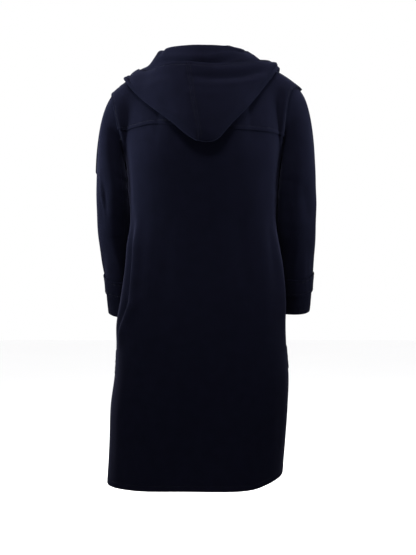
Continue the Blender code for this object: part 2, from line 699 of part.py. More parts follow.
def ring_normals(grid, out):
    """The directions out of a grid whose first and last columns are the same, on the side of out."""
    closed = np.concatenate([grid[:, -2:-1], grid, grid[:, 1:2]], axis=1)
    normals = unit(np.cross(np.gradient(closed, axis=1)[:, 1:-1], np.gradient(grid, axis=0)))
    return normals * np.sign(np.sum(normals[-1] * out[-1]))


def build_sleeves(back, left, right):
    """Each sleeve is an upper and an under piece, with seams at the back and the front of the arm."""
    cover = coat_cover(back, left, right)
    along = sleeve_rows()
    clearance = np.full(along.shape, SLEEVE_TUCK)
    strap = HEAD_STEPS + ARM_STEPS
    clearance[strap - 1:strap + STRAP_STEPS + 2] += LAYER
    for hand, word, front, edge in ((1, "left", left, 0), (-1, "right", right, -1)):
        around = sleeve_columns(back, front, edge)
        outside, out = sleeve_surface(hand, around[None, :], along)
        outside = lift_clear(outside, cover, np.broadcast_to(clearance, outside.shape[:2]))
        outside[:, -1] = outside[:, 0]
        out = ring_normals(outside, out)
        last = len(around) - 1
        pieces = (
            ("upper", list(range(SLEEVE_SEAM_STEPS, last - SLEEVE_SEAM_STEPS + 1))),
            ("under", list(range(last - SLEEVE_SEAM_STEPS, last)) + list(range(SLEEVE_SEAM_STEPS + 1))),
        )
        for piece, columns in pieces:
            grid, away = seamed(outside, out, columns)
            wall("sleeve_%s_%s" % (piece, word), grid - away * CLOTH, grid)
            if piece == "upper":
                build_strap(word, grid, away)


def build_strap(word, outside, out):
    """The strap round a cuff and its button, on the points of the upper sleeve."""
    first = HEAD_STEPS + ARM_STEPS
    rows = slice(first, first + STRAP_STEPS + 1)
    columns = slice(STRAP_FIRST, outside.shape[1] - STRAP_LAST)
    base = outside[rows, columns]
    away = out[rows, columns]
    wall("cuff_strap_" + word, base + away * GAP, base + away * (GAP + CLOTH))
    middle = STRAP_STEPS // 2
    point = 0.5 * (base[middle, -2] + base[middle, -3])
    direction = unit(away[middle, -2] + away[middle, -3])
    build_button("cuff_button_" + word, Vector(point), Vector(direction))


# ---------------------------------------------------------------- hood

def neck_reaches():
    """The places along half the neck seam that meet the columns of points of the panels."""
    width = 0.5 - NECK_START
    behind = [0.5 * (0.5 - across) / width for across in (0.5,) + BACK_COLUMNS[::-1] + (NECK_START,)]
    before = [0.5 + 0.5 * (across - NECK_START) / width / NECK_FRONT_SHARE for across in FRONT_COLUMNS[:3]]
    reaches = np.array(behind + before + [1.0])
    between = 0.5 * (reaches[:-1] + reaches[1:])[:-1]
    between = between[np.abs(between - SHOULDER_REACHES[0]) > 0.03]
    return np.sort(np.concatenate([reaches, between, SHOULDER_REACHES]))


def neck_lift(panel, left, right):
    """How thick the layers of a panel are at its neck's edge."""
    across = panel.across[-1]
    if panel is left:
        return 2.0 * LAYER + front_lift(across)
    if panel is right:
        return np.where(across < FRONT_YOKE_START, 3.0, 2.0) * LAYER
    return np.full_like(across, 2.0 * LAYER)


def neck_edge(along, back, left, right):
    """The neck seam, on top of the panels' layers: points, and the directions out of the cloth and past it.

    Along is 0 at the middle back, 0.5 at a shoulder and 1 near the middle front.
    """
    points = np.empty((len(along), 3))
    outs = np.empty((len(along), 3))
    for place, reach in enumerate(along):
        behind = abs(reach) <= 0.5
        panel = back if behind else (left if reach > 0.0 else right)
        share = 1.0 - abs(reach) / 0.5 if behind else (abs(reach) - 0.5) / 0.5 * NECK_FRONT_SHARE
        across = NECK_START + (0.5 - NECK_START) * share
        across = across if reach >= 0.0 else 1.0 - across
        row = panel.base[-1] + panel.out[-1] * neck_lift(panel, left, right)[:, None]
        points[place] = [np.interp(across, panel.across[-1], row[:, axis]) for axis in range(3)]
        outs[place] = [np.interp(across, panel.across[-1], panel.out[-1, :, axis]) for axis in range(3)]
    outs = unit(outs)
    past = unit(np.cross(np.gradient(points, axis=0), outs))
    inward = np.sum(past * vector(-points[:, 0], -points[:, 1], 0.0 * points[:, 0]), axis=-1)
    return points, outs, past * np.sign(inward)[:, None]


def fold_radius(along):
    """The turn at the bottom of the hood, which lies flatter on the shoulders."""
    return FOLD_RADIUS * (1.0 - 0.62 * window(np.abs(along), 0.20, 0.90))


def hood_middle(along, start, through):
    """The middle of the hood's cloth: through is 0 at the neck seam and 1 at the rim."""
    roll = HOOD.point("roll", along)
    fold = HOOD.point("fold", along)
    rim = HOOD.point("rim", along)
    inner = 0.45 * roll + 0.55 * fold
    upward = unit(roll - fold)
    outward = -unit(np.cross(np.gradient(fold, axis=0), upward))
    radius = fold_radius(along)[:, None]
    turn_in = fold + radius * 1.6 * upward
    turn = fold + radius * outward
    turn_out = fold + radius * (1.6 * upward + 2.0 * outward)
    fullness = HOOD_FULLNESS * (1.0 - HOOD_FLATTER * window(along, 0.25, 0.95))[:, None]
    outer = 0.46 * fold + 0.54 * rim + fullness * outward
    keys = np.stack([start, roll, inner, turn_in, turn, turn_out, outer, rim])
    places = np.array(HOOD_PLACES)
    slopes = np.gradient(keys, places, axis=0)
    left = np.clip(np.searchsorted(places, through, side="right") - 1, 0, len(places) - 2)
    span = places[left + 1] - places[left]
    share = (through - places[left]) / span
    return hermite(keys[left], slopes[left] * span, keys[left + 1], slopes[left + 1] * span, share)


def coat_cover(back, left, right):
    """The outside of the back, the fronts and the yokes, to lay other pieces on."""
    lapped = front_lift(left.across)
    below = slice(UNDERARM_ROW - WAIST_STEPS, YOKE_ROW + 1)
    yoke = slice(YOKE_ROW, None)
    bare = slice(right.near(FRONT_YOKE_START), None)
    grids = (
        back.outside(CLOTH, below),
        back.outside(LAYER + CLOTH, yoke),
        left.outside(CLOTH + lapped, below),
        left.outside(LAYER + CLOTH + lapped, yoke),
        right.outside(CLOTH, below),
        right.outside(LAYER + CLOTH, yoke, bare),
    )
    points = []
    faces = []
    for grid in grids:
        rows, columns = grid.shape[:2]
        first = len(points)
        points.extend(Vector(point) for point in grid.reshape(-1, 3))
        for row in range(rows - 1):
            for column in range(columns - 1):
                corner = first + row * columns + column
                faces.append((corner, corner + 1, corner + columns + 1))
                faces.append((corner, corner + columns + 1, corner + columns))
    return BVHTree.FromPolygons(points, faces)


def lack(point, cover, clearance):
    """The move that takes a point over a cover clear of it, or None."""
    nearest, out, _, _ = cover.find_nearest(Vector(point))
    offset = Vector(point) - nearest
    height = offset.dot(out)
    if height < clearance and (offset - out * height).length < EDGE_REACH:
        return np.array(out) * (clearance - height)
    return None


def lift_clear(grid, cover, clearance):
    """Moves the points of all rows but the first, and the middles between them, clear of the cover."""
    grid = grid.copy()
    rows, columns = grid.shape[:2]
    for place in np.ndindex(rows, columns):
        move = lack(grid[place], cover, clearance[place])
        if place[0] > 0 and move is not None:
            grid[place] += move
    for _ in range(2):
        for down, along in ((0, 1), (1, 0), (1, 1)):
            for row, column in np.ndindex(rows - down, columns - along):
                here = (row, column)
                there = (row + down, column + along)
                move = lack(0.5 * (grid[here] + grid[there]), cover, clearance[there] - CHORD_SAG)
                if move is not None and there[0] > 0:
                    share = 1.0 if row > 0 else 2.0
                    grid[there] += move * share
                    if row > 0:
                        grid[here] += move
    return grid


def build_hood(back, left, right):
    """The two halves of the hood, which lies folded on the shoulders."""
    reach = neck_reaches()
    along = np.concatenate([-reach[:0:-1], reach])
    through = np.concatenate([
        np.linspace(0.0, 0.20, 4), np.linspace(0.20, 0.54, 6)[1:],
        np.linspace(0.54, 0.62, 5)[1:], np.linspace(0.62, 1.0, 8)[1:],
    ])
    edge, neck_out, past = neck_edge(along, back, left, right)
    start = edge + neck_out * (NECK_SEAM + CLOTH * 0.5)
    middle = np.stack([hood_middle(along, start, value) for value in through])
    cover = coat_cover(back, left, right)
    turned = ease((through - HOOD_PLACES[3]) / (HOOD_PLACES[5] - HOOD_PLACES[3]))
    clearance = HOOD_TUCK + 1.9 * turned[:, None] * fold_radius(along)[None, :]
    middle = lift_clear(middle, cover, clearance)
    out = unit(np.cross(np.gradient(middle, axis=1), np.gradient(middle, axis=0)))
    seam = len(reach) - 1
    out = out * np.sign(out[-3, seam, 1])
    out[0] = neck_out
    pieces = (("hood_right", list(range(seam + 1))), ("hood_left", list(range(seam, len(along)))))
    for name, columns in pieces:
        grid, away = seamed(middle, out, columns)
        half = away * (CLOTH * 0.5)
        wall(name, grid - half, grid + half)


# ---------------------------------------------------------------- fastenings

def frame_on_front(height, lift):
    """A place on the middle of the front: its point, and the directions to the left, up and out."""
    across, up = front_share(np.zeros(1), height)
    out = body_normal(-1, across, up)[0]
    left = -unit(body_slopes(-1, across, up)[0])[0]
    return body_point(-1, across, up)[0] + out * lift, left, np.cross(left, out), out


def build_patch(name, height, hand):
    """A thin leather piece with round corners, beside a toggle."""
    across_share = np.linspace(-1.0, 1.0, 5)[None, :]
    up_share = np.linspace(-1.0, 1.0, 5)[:, None]
    round_across = across_share * np.sqrt(1.0 - PATCH_ROUND * up_share ** 2)
    round_up = up_share * np.sqrt(1.0 - PATCH_ROUND * across_share ** 2)
    across, up = front_share(hand * PATCH_OUT - 0.5 * PATCH_WIDTH * round_across,
                             height + 0.5 * PATCH_TALL * round_up)
    lift = LAYER + PATCH_GAP + (front_lift(across) if hand > 0 else 0.0)
    Panel(-1, across, up).piece(name, lift, PATCH_THICKNESS, LEATHER)


def build_cord(name, route, radius):
    """A cord with round ends' caps filled, through the points of its route."""
    curve = bpy.data.curves.new(name, "CURVE")
    curve.dimensions = "3D"
    curve.bevel_depth = radius
    curve.bevel_resolution = 2
    curve.use_fill_caps = True
    spline = curve.splines.new("POLY")
    spline.points.add(len(route) - 1)
    for place, point in enumerate(route):
        spline.points[place].co = (*point, 1.0)
    return add_object(name, curve, CORD)


def build_toggle(name, centre, across, out):
    """A turned horn bar with a narrower waist, lying across the front."""
    half = TOGGLE_LENGTH / 2.0
    shares = (1.0, 0.97, 0.86, 0.55, 0.22, 0.10, 0.0, -0.10, -0.22, -0.55, -0.86, -0.97, -1.0)
    radii = (0.0, 0.36, 0.66, 0.95, 1.0, 0.80, TOGGLE_WAIST / TOGGLE_RADIUS,
             0.80, 1.0, 0.95, 0.66, 0.36, 0.0)
    mesh = bpy.data.meshes.new(name)
    points = [(radius * TOGGLE_RADIUS, 0.0, share * half) for share, radius in zip(shares, radii)]
    mesh.from_pydata(points, [(row, row + 1) for row in range(len(points) - 1)], [])
    toggle = add_object(name, mesh, HORN)
    turn = toggle.modifiers.new("turn", "SCREW")
    turn.steps = 10
    turn.render_steps = 10
    turn.use_merge_vertices = True
    turn.merge_threshold = 0.00005
    turn.use_smooth_shade = True
    side = np.cross(across, out)
    turned = Matrix([[out[axis], side[axis], across[axis]] for axis in range(3)]).to_4x4()
    toggle.matrix_world = Matrix.Translation(Vector(centre)) @ turned
    return toggle


def build_fastenings():
    for number, height in enumerate(TOGGLE_HEIGHTS, start=1):
        build_patch("patch_left_%d" % number, height, 1)
        build_patch("patch_right_%d" % number, height, -1)
        base = 2.0 * LAYER + PATCH_GAP + LOOP_RISE
        near = PATCH_OUT - 0.5 * PATCH_WIDTH - 0.002
        loop_lift = base + CORD_RADIUS + GAP
        holder_lift = loop_lift + 2.0 * CORD_RADIUS + GAP
        point, across, up, out = frame_on_front(height, loop_lift)
        turns = np.radians(np.linspace(90.0, 270.0, 7))
        route = [point + across * near + up * LOOP_HALF_WIDTH]
        bend = LOOP_END + LOOP_HALF_WIDTH
        for turn in turns:
            route.append(point + across * (bend + LOOP_HALF_WIDTH * math.cos(turn))
                         + up * (LOOP_HALF_WIDTH * math.sin(turn)))
        route.append(point + across * near - up * LOOP_HALF_WIDTH)
        build_cord("loop_%d" % number, route, CORD_RADIUS)
        top_lift = holder_lift - loop_lift
        lifts = ((near, 0.0), (near - 0.012, 0.0012), (0.026, top_lift), (0.006, top_lift))
        route = [point - across * sideways + out * lift for sideways, lift in lifts]
        build_cord("holder_%d" % number, route, CORD_RADIUS)
        centre = point + out * (top_lift + CORD_RADIUS + GAP + TOGGLE_RADIUS)
        build_toggle("toggle_%d" % number, centre, across, out)


def build_button(name, point, direction):
    """A flat turned button that lies on the strap."""
    lift = CLOTH + 2.0 * GAP + 0.0012 + 0.5 * BUTTON_THICKNESS
    mesh = bpy.data.meshes.new(name)
    work = bmesh.new()
    bmesh.ops.create_cone(work, cap_ends=True, segments=16, radius1=BUTTON_RADIUS,
                          radius2=BUTTON_RADIUS, depth=BUTTON_THICKNESS)
    work.to_mesh(mesh)
    work.free()
    button = add_object(name, mesh, HORN)
    rounded = button.modifiers.new("rounded", "BEVEL")
    rounded.width = 0.0008
    rounded.segments = 1
    turned = direction.to_track_quat("Z", "Y").to_matrix().to_4x4()
    button.matrix_world = Matrix.Translation(point + direction * lift) @ turned
    return button


# ---------------------------------------------------------------- the coat

for leftover in list(bpy.data.objects):
    bpy.data.objects.remove(leftover, do_unlink=True)

coat = bpy.data.collections.new("duffle_coat")
bpy.context.scene.collection.children.link(coat)

panels = build_body()
build_sleeves(*panels)
build_hood(*panels)
build_fastenings()
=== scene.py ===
"""The looks of a long wool duffle coat: cloth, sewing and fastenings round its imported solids."""
import math

import bpy
import numpy as np
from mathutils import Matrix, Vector
from mathutils.bvhtree import BVHTree


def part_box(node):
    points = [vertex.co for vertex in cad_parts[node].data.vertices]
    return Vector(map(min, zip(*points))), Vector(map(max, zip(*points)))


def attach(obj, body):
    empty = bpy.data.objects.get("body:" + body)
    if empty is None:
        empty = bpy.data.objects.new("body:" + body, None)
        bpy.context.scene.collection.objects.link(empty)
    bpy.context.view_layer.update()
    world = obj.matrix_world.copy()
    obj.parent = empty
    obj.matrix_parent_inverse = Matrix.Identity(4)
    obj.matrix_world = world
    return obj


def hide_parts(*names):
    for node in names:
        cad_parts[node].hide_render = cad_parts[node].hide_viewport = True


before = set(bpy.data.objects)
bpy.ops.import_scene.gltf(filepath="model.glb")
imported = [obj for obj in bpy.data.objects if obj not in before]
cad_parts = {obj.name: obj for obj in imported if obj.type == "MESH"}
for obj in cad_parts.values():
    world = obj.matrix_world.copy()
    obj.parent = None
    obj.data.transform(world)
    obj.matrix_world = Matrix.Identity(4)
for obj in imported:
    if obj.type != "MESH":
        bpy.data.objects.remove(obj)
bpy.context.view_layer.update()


# ---------------- curves and tables

def hermite(start, start_pull, end, end_pull, share):
    """A curve that leaves the start along one pull and reaches the end along the other."""
    square = share * share
    cube = square * share
    return ((2.0 * cube - 3.0 * square + 1.0) * start + (cube - 2.0 * square + share) * start_pull
            + (3.0 * square - 2.0 * cube) * end + (cube - square) * end_pull)


def smooth_curve(places, values, place):
    """The smooth curve through the values, read at the given places."""
    slopes = np.gradient(values, places, axis=0)
    place = np.clip(place, places[0], places[-1])
    left = np.clip(np.searchsorted(places, place, side="right") - 1, 0, len(places) - 2)
    span = places[left + 1] - places[left]
    share = (place - places[left]) / span
    return hermite(values[left], slopes[left] * span, values[left + 1], slopes[left + 1] * span, share)


class Table:
    """Rows of named columns, ordered by the first one."""

    def __init__(self, columns, rows):
        self.columns = columns
        self.rows = np.array(rows)

    def at(self, name, place):
        """A column's value at a place in the first column."""
        return smooth_curve(self.rows[:, 0], self.rows[:, self.columns.index(name)], place)

    def point(self, name, place):
        """The point whose columns are name_x, name_y and name_z."""
        return np.stack([self.at(name + axis, place) for axis in ("_x", "_y", "_z")], axis=-1)


def ease(share):
    """0 to 1, level at both ends."""
    share = np.clip(share, 0.0, 1.0)
    return share * share * (3.0 - 2.0 * share)


def window(place, low, high):
    """A hump that is 1 in the middle of a stretch and 0 at its ends."""
    return np.sin(math.pi * np.clip((place - low) / (high - low), 0.0, 1.0)) ** 2


def unit(vectors):
    return vectors / np.linalg.norm(vectors, axis=-1, keepdims=True)


def vector(x, y, z):
    return np.stack(np.broadcast_arrays(x, y, z), axis=-1)


def shares(first, second):
    return np.broadcast_arrays(np.asarray(first, dtype=float), np.asarray(second, dtype=float))


def normals_of(grid):
    return unit(np.cross(np.gradient(grid, axis=1), np.gradient(grid, axis=0)))


def reach_along(route):
    """The distance of each of a route's points from its start."""
    return np.concatenate([[0.0], np.cumsum(np.linalg.norm(np.diff(route, axis=0), axis=1))])


def read_at(places, reach, values):
    return np.stack([np.interp(places, reach, values[:, axis]) for axis in range(3)], axis=-1)


# ---------------- the coat's dimensions, in metres

CLOTH = 0.003
GAP = 0.0003  # between pieces that are sewn together
LAYER = CLOTH + GAP  # how far a piece that lies on another one is moved out
HEM_HEIGHT = -1.0635
HEM_RISE_RIGHT = 0.023  # the hem hangs higher on the wearer's right side
HEM_RISE_REACH = 0.29  # the share of the hem's width over which it rises
UNDERARM_HEIGHT = -0.262
UNDERARM_UP = 0.7  # the share of a panel's rows that lies below the underarm
SQUARENESS = 0.055  # how far a section of the body departs from an ellipse
NECK_HALF_WIDTH = 0.080
NECK_START = 0.32  # the share of a panel's width that is one shoulder
# each side's depth and drop of the neck, the drop's power, and how the cloth runs out and up to it
NECK_SHAPES = {1: (0.074, 0.012, 2.0, 0.11, 0.24), -1: (0.086, 0.080, 1.5, 0.05, 0.17)}
SHOULDER_LEFT = 0.238
SHOULDER_RIGHT = -0.239
SHOULDER_CURVE = 2.85  # drop of the shoulder seam over its distance from the neck, squared
SHOULDER_TILT = 0.022  # the wearer's left shoulder is the lower one
SHOULDER_ROUND = 0.23  # how full the cloth passes over the shoulder seam
SEAM_BEND_LEFT = 0.02  # how far the left armhole bows outward, and the right one inward
SEAM_BEND_RIGHT = 0.14
ARMHOLE_SCOOP = 0.24
ARMHOLE_SCOOP_WIDTH = 0.075
YOKE_FRONT_HEIGHT = -0.150
FRONT_EDGE = 0.56  # each front passes the middle by 6% of its width
FRONT_YOKE_START = FRONT_EDGE + 0.008
RAMP_START = 0.370  # where the left front starts to rise over the right one
RAMP_END = 0.440
SLOPE_STEP = 0.0002  # in the shares across and up, to find the slopes of the cloth
SLOPE_DROP = 0.01

HEAD_SHARE = 0.26  # the share of a sleeve's length that lies above its first free section
# how a sleeve leaves its armhole and meets its first section: at the underarm, and how much more on top
HEAD_LEAVE = (0.035, 0.145)
HEAD_SETTLE = (0.040, 0.190)
HEAD_TURN = (30.0, -40.0)  # degrees from the armhole's plane towards the outside
SLEEVE_TUCK = 0.0028  # between a sleeve and the body
STRAP_LOW = 0.057  # above the edge of the cuff
STRAP_HIGH = 0.101
STRAP_END_SHARE = 2 / 6  # of the way from the yoke's edge to the shoulder, above a strap's end
BUTTON_RADIUS = 0.0105
BUTTON_THICKNESS = 0.0035
BUTTON_HOLE = 0.0021  # from the middle of a button to its holes, across and along

HOOD_PLACES = np.array((0.0, 0.20, 0.40, 0.54, 0.58, 0.62, 0.80, 1.0))
FOLD_RADIUS = 0.0065  # of the turn at the bottom of the lowered hood
HOOD_FULLNESS = 0.012  # how far the hood's outer layer swells
HOOD_FLATTER = 0.85  # how much less of it there is where the hood crosses the left shoulder
HOOD_TUCK = 0.0050  # between the middle of the hood's cloth and what it lies on
NECK_SEAM = 0.0006  # between the neck's edge and the hood
NECK_FRONT_SHARE = 0.93  # the hood ends this far along the front of the neck
INNER_DOWN = 0.55  # the inner layer's middle point, as a share from its roll to its fold
OUTER_UP = 0.54  # the outer layer's middle point, as a share from its fold to its rim
EDGE_REACH = 0.0005  # a point this far past a cover's edge isn't over it
COVER_REACH = 0.03  # how far a piece looks for the body under it

POCKET_BOTTOM = -0.950
POCKET_TOP = -0.738
POCKET_NEAR = 0.070  # share of the front's width from the side seam
POCKET_FAR = 0.370
POCKET_FULLNESS = 0.007
FLAP_BOTTOM = -0.794
FLAP_TOP = -0.722

TOGGLE_HEIGHTS = (-0.205, -0.340, -0.475, -0.610)
TOGGLE_LENGTH = 0.056
TOGGLE_RADIUS = 0.0072
# half of a toggle's outline: the share of its half length from one end, and of its radius
TOGGLE_OUTLINE = (
    (-1.0, 0.0), (-0.985, 0.28), (-0.95, 0.46), (-0.86, 0.66), (-0.70, 0.84), (-0.50, 0.96),
    (-0.30, 1.0), (-0.20, 0.98), (-0.13, 0.84), (-0.08, 0.73), (0.0, 0.69),
)
CORD_RADIUS = 0.0017
TWIST_RADIUS = 0.0007  # of the cord that winds round a toggle
TWISTS = 160.0  # of the cord's strands, a metre
STRAND_OUT = 0.50  # from the cord's middle to a strand's, as a share of its radius
STRAND_RADIUS = 0.54
ROUTE_STEP = 0.0009
THREAD_TWIN = 0.0004  # half the distance between the two threads of a button
BUTTON_THREAD = 0.00042
LOOP_HALF_WIDTH = 0.0075
LOOP_RISE = 0.0010  # clears the front where it's hollow
LOOP_END = -0.012  # how far the loop passes the middle of the toggle
PATCH_WIDTH = 0.042
PATCH_TALL = 0.036
PATCH_THICKNESS = 0.0016
PATCH_OUT = 0.0705  # from the middle of the toggle to the middle of a patch
PATCH_ROUND = 0.28
PATCH_GAP = 0.0003  # more than between seams, because a patch bends less than the cloth
PATCH_STITCH = 0.0035
PATCH_SPACING = 0.003

# sections of the body
BODY = Table(("height", "left", "right", "back", "front", "middle"), (
    (-1.09, 0.255, -0.188, 0.152, 0.158, -0.004),
    (-0.96, 0.248, -0.198, 0.148, 0.152, -0.002),
    (-0.87, 0.244, -0.204, 0.145, 0.149, 0.0),
    (-0.79, 0.233, -0.206, 0.142, 0.145, 0.0),
    (-0.72, 0.229, -0.199, 0.138, 0.14, 0.0),
    (-0.66, 0.229, -0.1955, 0.134, 0.136, 0.0),
    (-0.6, 0.2185, -0.196, 0.119, 0.141, 0.01),
    (-0.5, 0.204, -0.188, 0.101, 0.144, 0.02),
    (-0.46, 0.2005, -0.181, 0.099, 0.142, 0.02),
    (-0.405, 0.1905, -0.173, 0.098, 0.14, 0.02),
    (-0.33, 0.1945, -0.176, 0.106, 0.14, 0.016),
    (-0.24, 0.203, -0.183, 0.124, 0.134, 0.004),
))
# soft folds down the body; the angle is 0 at the left side seam and 90 at the middle back
# each row: angle, lean, low, high, width, depth
BODY_FOLDS = (
    (39.5, -12.0, -0.74, -0.33, 6.0, 0.009),
    (27.0, -14.0, -0.72, -0.35, 6.5, -0.01),
    (35.5, 26.0, -0.73, -0.57, 6.0, 0.008),
    (22.0, 24.0, -0.72, -0.57, 6.0, -0.008),
    (160.0, -12.0, -0.8, -0.4, 9.0, 0.006),
    (146.0, 8.0, -0.62, -0.34, 7.0, -0.004),
    (62.0, 6.0, -1.3, -0.72, 10.0, 0.004),
    (84.0, -4.0, -1.3, -0.8, 9.0, -0.004),
    (112.0, -6.0, -1.3, -0.7, 11.0, 0.004),
    (136.0, -8.0, -1.3, -0.78, 9.0, -0.004),
    (-24.0, -8.0, -0.8, -0.36, 9.0, 0.006),
    (-156.0, 9.0, -0.82, -0.38, 9.0, 0.006),
    (-60.0, 5.0, -1.3, -0.9, 10.0, -0.004),
    (-118.0, 5.0, -1.3, -0.88, 11.0, 0.004),
)
YOKE_EDGE = Table(("across", "height"), (
    (0.0, -0.168),
    (0.1, -0.171),
    (0.2, -0.166),
    (0.3, -0.161),
    (0.4, -0.163),
    (0.6, -0.174),
    (0.75, -0.178),
    (0.9, -0.182),
    (1.0, -0.184),
))
SLEEVE_COLUMNS = ("height", "outer", "across", "fore", "half_fore", "tilt")
SLEEVES = {
    1: Table(SLEEVE_COLUMNS, (
        (-0.637, 0.263, 0.096, -0.116, 0.054, 12.0),
        (-0.6, 0.2648, 0.0985, -0.102, 0.057, 16.0),
        (-0.548, 0.268, 0.097, -0.084, 0.061, 17.0),
        (-0.486, 0.2761, 0.0941, -0.064, 0.066, 11.0),
        (-0.425, 0.2823, 0.0943, -0.042, 0.07, 6.0),
        (-0.364, 0.2849, 0.0949, -0.026, 0.073, 3.0),
        (-0.3, 0.2833, 0.0918, -0.014, 0.074, 0.0),
    )),
    -1: Table(SLEEVE_COLUMNS, (
        (-0.63, 0.2722, 0.0948, -0.11, 0.054, 12.0),
        (-0.6, 0.2742, 0.0957, -0.096, 0.057, 16.0),
        (-0.548, 0.2768, 0.0983, -0.079, 0.061, 16.0),
        (-0.486, 0.2798, 0.1008, -0.06, 0.066, 10.0),
        (-0.425, 0.281, 0.1125, -0.034, 0.07, 5.0),
        (-0.364, 0.2803, 0.1113, -0.02, 0.071, 2.0),
        (-0.3, 0.2789, 0.1044, -0.01, 0.072, 0.0),
    )),
}
# creases down the sleeves; around is 0 at the underarm, 0.25 at the back and 0.5 outside
# each row: around, lean, low, high, width, depth
SLEEVE_CREASES = (
    (0.33, 0.1, 0.18, 0.56, 0.045, -0.004),
    (0.22, -0.16, 0.5, 0.86, 0.05, 0.004),
    (0.42, 0.14, 0.55, 0.9, 0.04, -0.003),
    (0.7, 0.1, 0.45, 0.8, 0.05, -0.005),
    (0.82, -0.12, 0.48, 0.78, 0.045, 0.004),
)
# sections of the hood, from the right end of its neck seam round the back to the left end
HOOD = Table((
    "along", "roll_x", "roll_y", "roll_z", "fold_x", "fold_y", "fold_z", "rim_x", "rim_y", "rim_z",
), (
    (-1.0, -0.031, -0.104, -0.036, -0.054, -0.122, -0.112, -0.042, -0.136, -0.08),
    (-0.82, -0.08, -0.082, 0.002, -0.124, -0.111, -0.081, -0.11, -0.119, -0.045),
    (-0.66, -0.103, -0.04, 0.024, -0.168, -0.056, -0.045, -0.152, -0.06, -0.018),
    (-0.5, -0.104, 0.008, 0.03, -0.176, 0.022, -0.02, -0.162, 0.016, 0.003),
    (-0.34, -0.088, 0.052, 0.031, -0.116, 0.092, -0.098, -0.134, 0.072, 0.003),
    (-0.17, -0.047, 0.086, 0.032, -0.06, 0.134, -0.16, -0.06, 0.112, -0.01),
    (-0.07, -0.018, 0.095, 0.032, -0.018, 0.149, -0.204, -0.003, 0.122, -0.012),
    (0.0, 0.004, 0.098, 0.032, 0.019, 0.15, -0.205, 0.047, 0.124, -0.008),
    (0.07, 0.026, 0.096, 0.033, 0.044, 0.147, -0.193, 0.068, 0.121, -0.008),
    (0.17, 0.054, 0.086, 0.034, 0.082, 0.134, -0.16, 0.092, 0.114, -0.01),
    (0.34, 0.103, 0.05, 0.033, 0.152, 0.084, -0.104, 0.133, 0.078, -0.018),
    (0.5, 0.123, 0.01, 0.022, 0.188, 0.036, -0.068, 0.159, 0.03, -0.034),
    (0.66, 0.109, -0.04, 0.008, 0.176, -0.05, -0.07, 0.152, -0.058, -0.046),
    (0.82, 0.08, -0.082, -0.008, 0.128, -0.117, -0.079, 0.114, -0.126, -0.046),
    (1.0, 0.033, -0.104, -0.036, 0.054, -0.122, -0.112, 0.044, -0.136, -0.082),
))

# ---------------- the looks' own dimensions

BODY_WIDTH = 0.64  # nominal size of a panel's cut, for the places of seams and stitches
BODY_LOW = 0.80  # from the hem to the underarm, and from there to the shoulder
BODY_HIGH = 0.30
UPPER_LOW = 0.080  # the part of the upper height that lies below the seams of the sleeves
SLEEVE_LENGTH = 0.45
SLEEVE_AROUND = 0.46
HOOD_HALF_LENGTH = 0.30
HOOD_DEPTH = 0.50
HOOD_SPACING = 0.0045
YOKE_TALL = 0.170
SEAM_SHARE_UP = 0.75  # how far up from the underarm to the yoke's edge the seams of the sleeves meet it
SPACING = 0.0065  # between points in the middle of a piece
FINE = 0.005  # the same for small pieces
EDGE = (0.0, 0.0003, 0.0008, 0.0015, 0.0028, 0.0044, 0.0056, 0.0063, 0.0070, 0.0077, 0.0090, 0.0110)
HEM = (0.0, 0.0003, 0.0008, 0.0015, 0.0040, 0.0080, 0.0118, 0.0132, 0.0140, 0.0148, 0.0165, 0.0195)
CUFF = (0.0, 0.0003, 0.0008, 0.0015, 0.0040, 0.0075, 0.0102, 0.0113, 0.0120, 0.0127, 0.0140, 0.0165)
RIM = (0.0, 0.0003, 0.0008, 0.0015, 0.0035, 0.0062, 0.0084, 0.0093, 0.0100, 0.0107, 0.0120, 0.0145)
CENTRE = (0.0, 0.0002, 0.0005, 0.0010, 0.0016, 0.0022, 0.0028, 0.0034, 0.0040, 0.0052, 0.0075, 0.0105)
JOIN = (0.0, 0.0003, 0.0008, 0.0015, 0.0030, 0.0055)
STITCH_IN = 0.0070  # from an edge or a seam to the row of stitches beside it
HEM_STITCH = 0.0140
CUFF_STITCH = 0.0120
RIM_STITCH = 0.0100
CENTRE_STITCH = 0.0028
GROOVE = 0.00055  # how deep a row of stitches sinks into the wool
GROOVE_WIDTH = 0.0011
PUCKER = 0.00028  # how high the wool puckers beside a row of stitches
PUCKER_WIDTH = 0.0070
PUCKER_LENGTH = 0.017
STITCH_PITCH = 0.0042
STITCH_LENGTH = 0.0029
THREAD_RADIUS = 0.00038
PATCH_EDGE = (0.0, 0.0002, 0.0005, 0.0008, 0.0016, 0.0028, 0.0035, 0.0042, 0.0055)
TUCK = (0.0045, 0.0030, 0.0015)  # how far the sleeve's and the hood's edges run on past their seams
UNDER_TUCK = 0.0006
BUTTED = 10.0  # how much squarer an edge is where it is butted against its neighbour

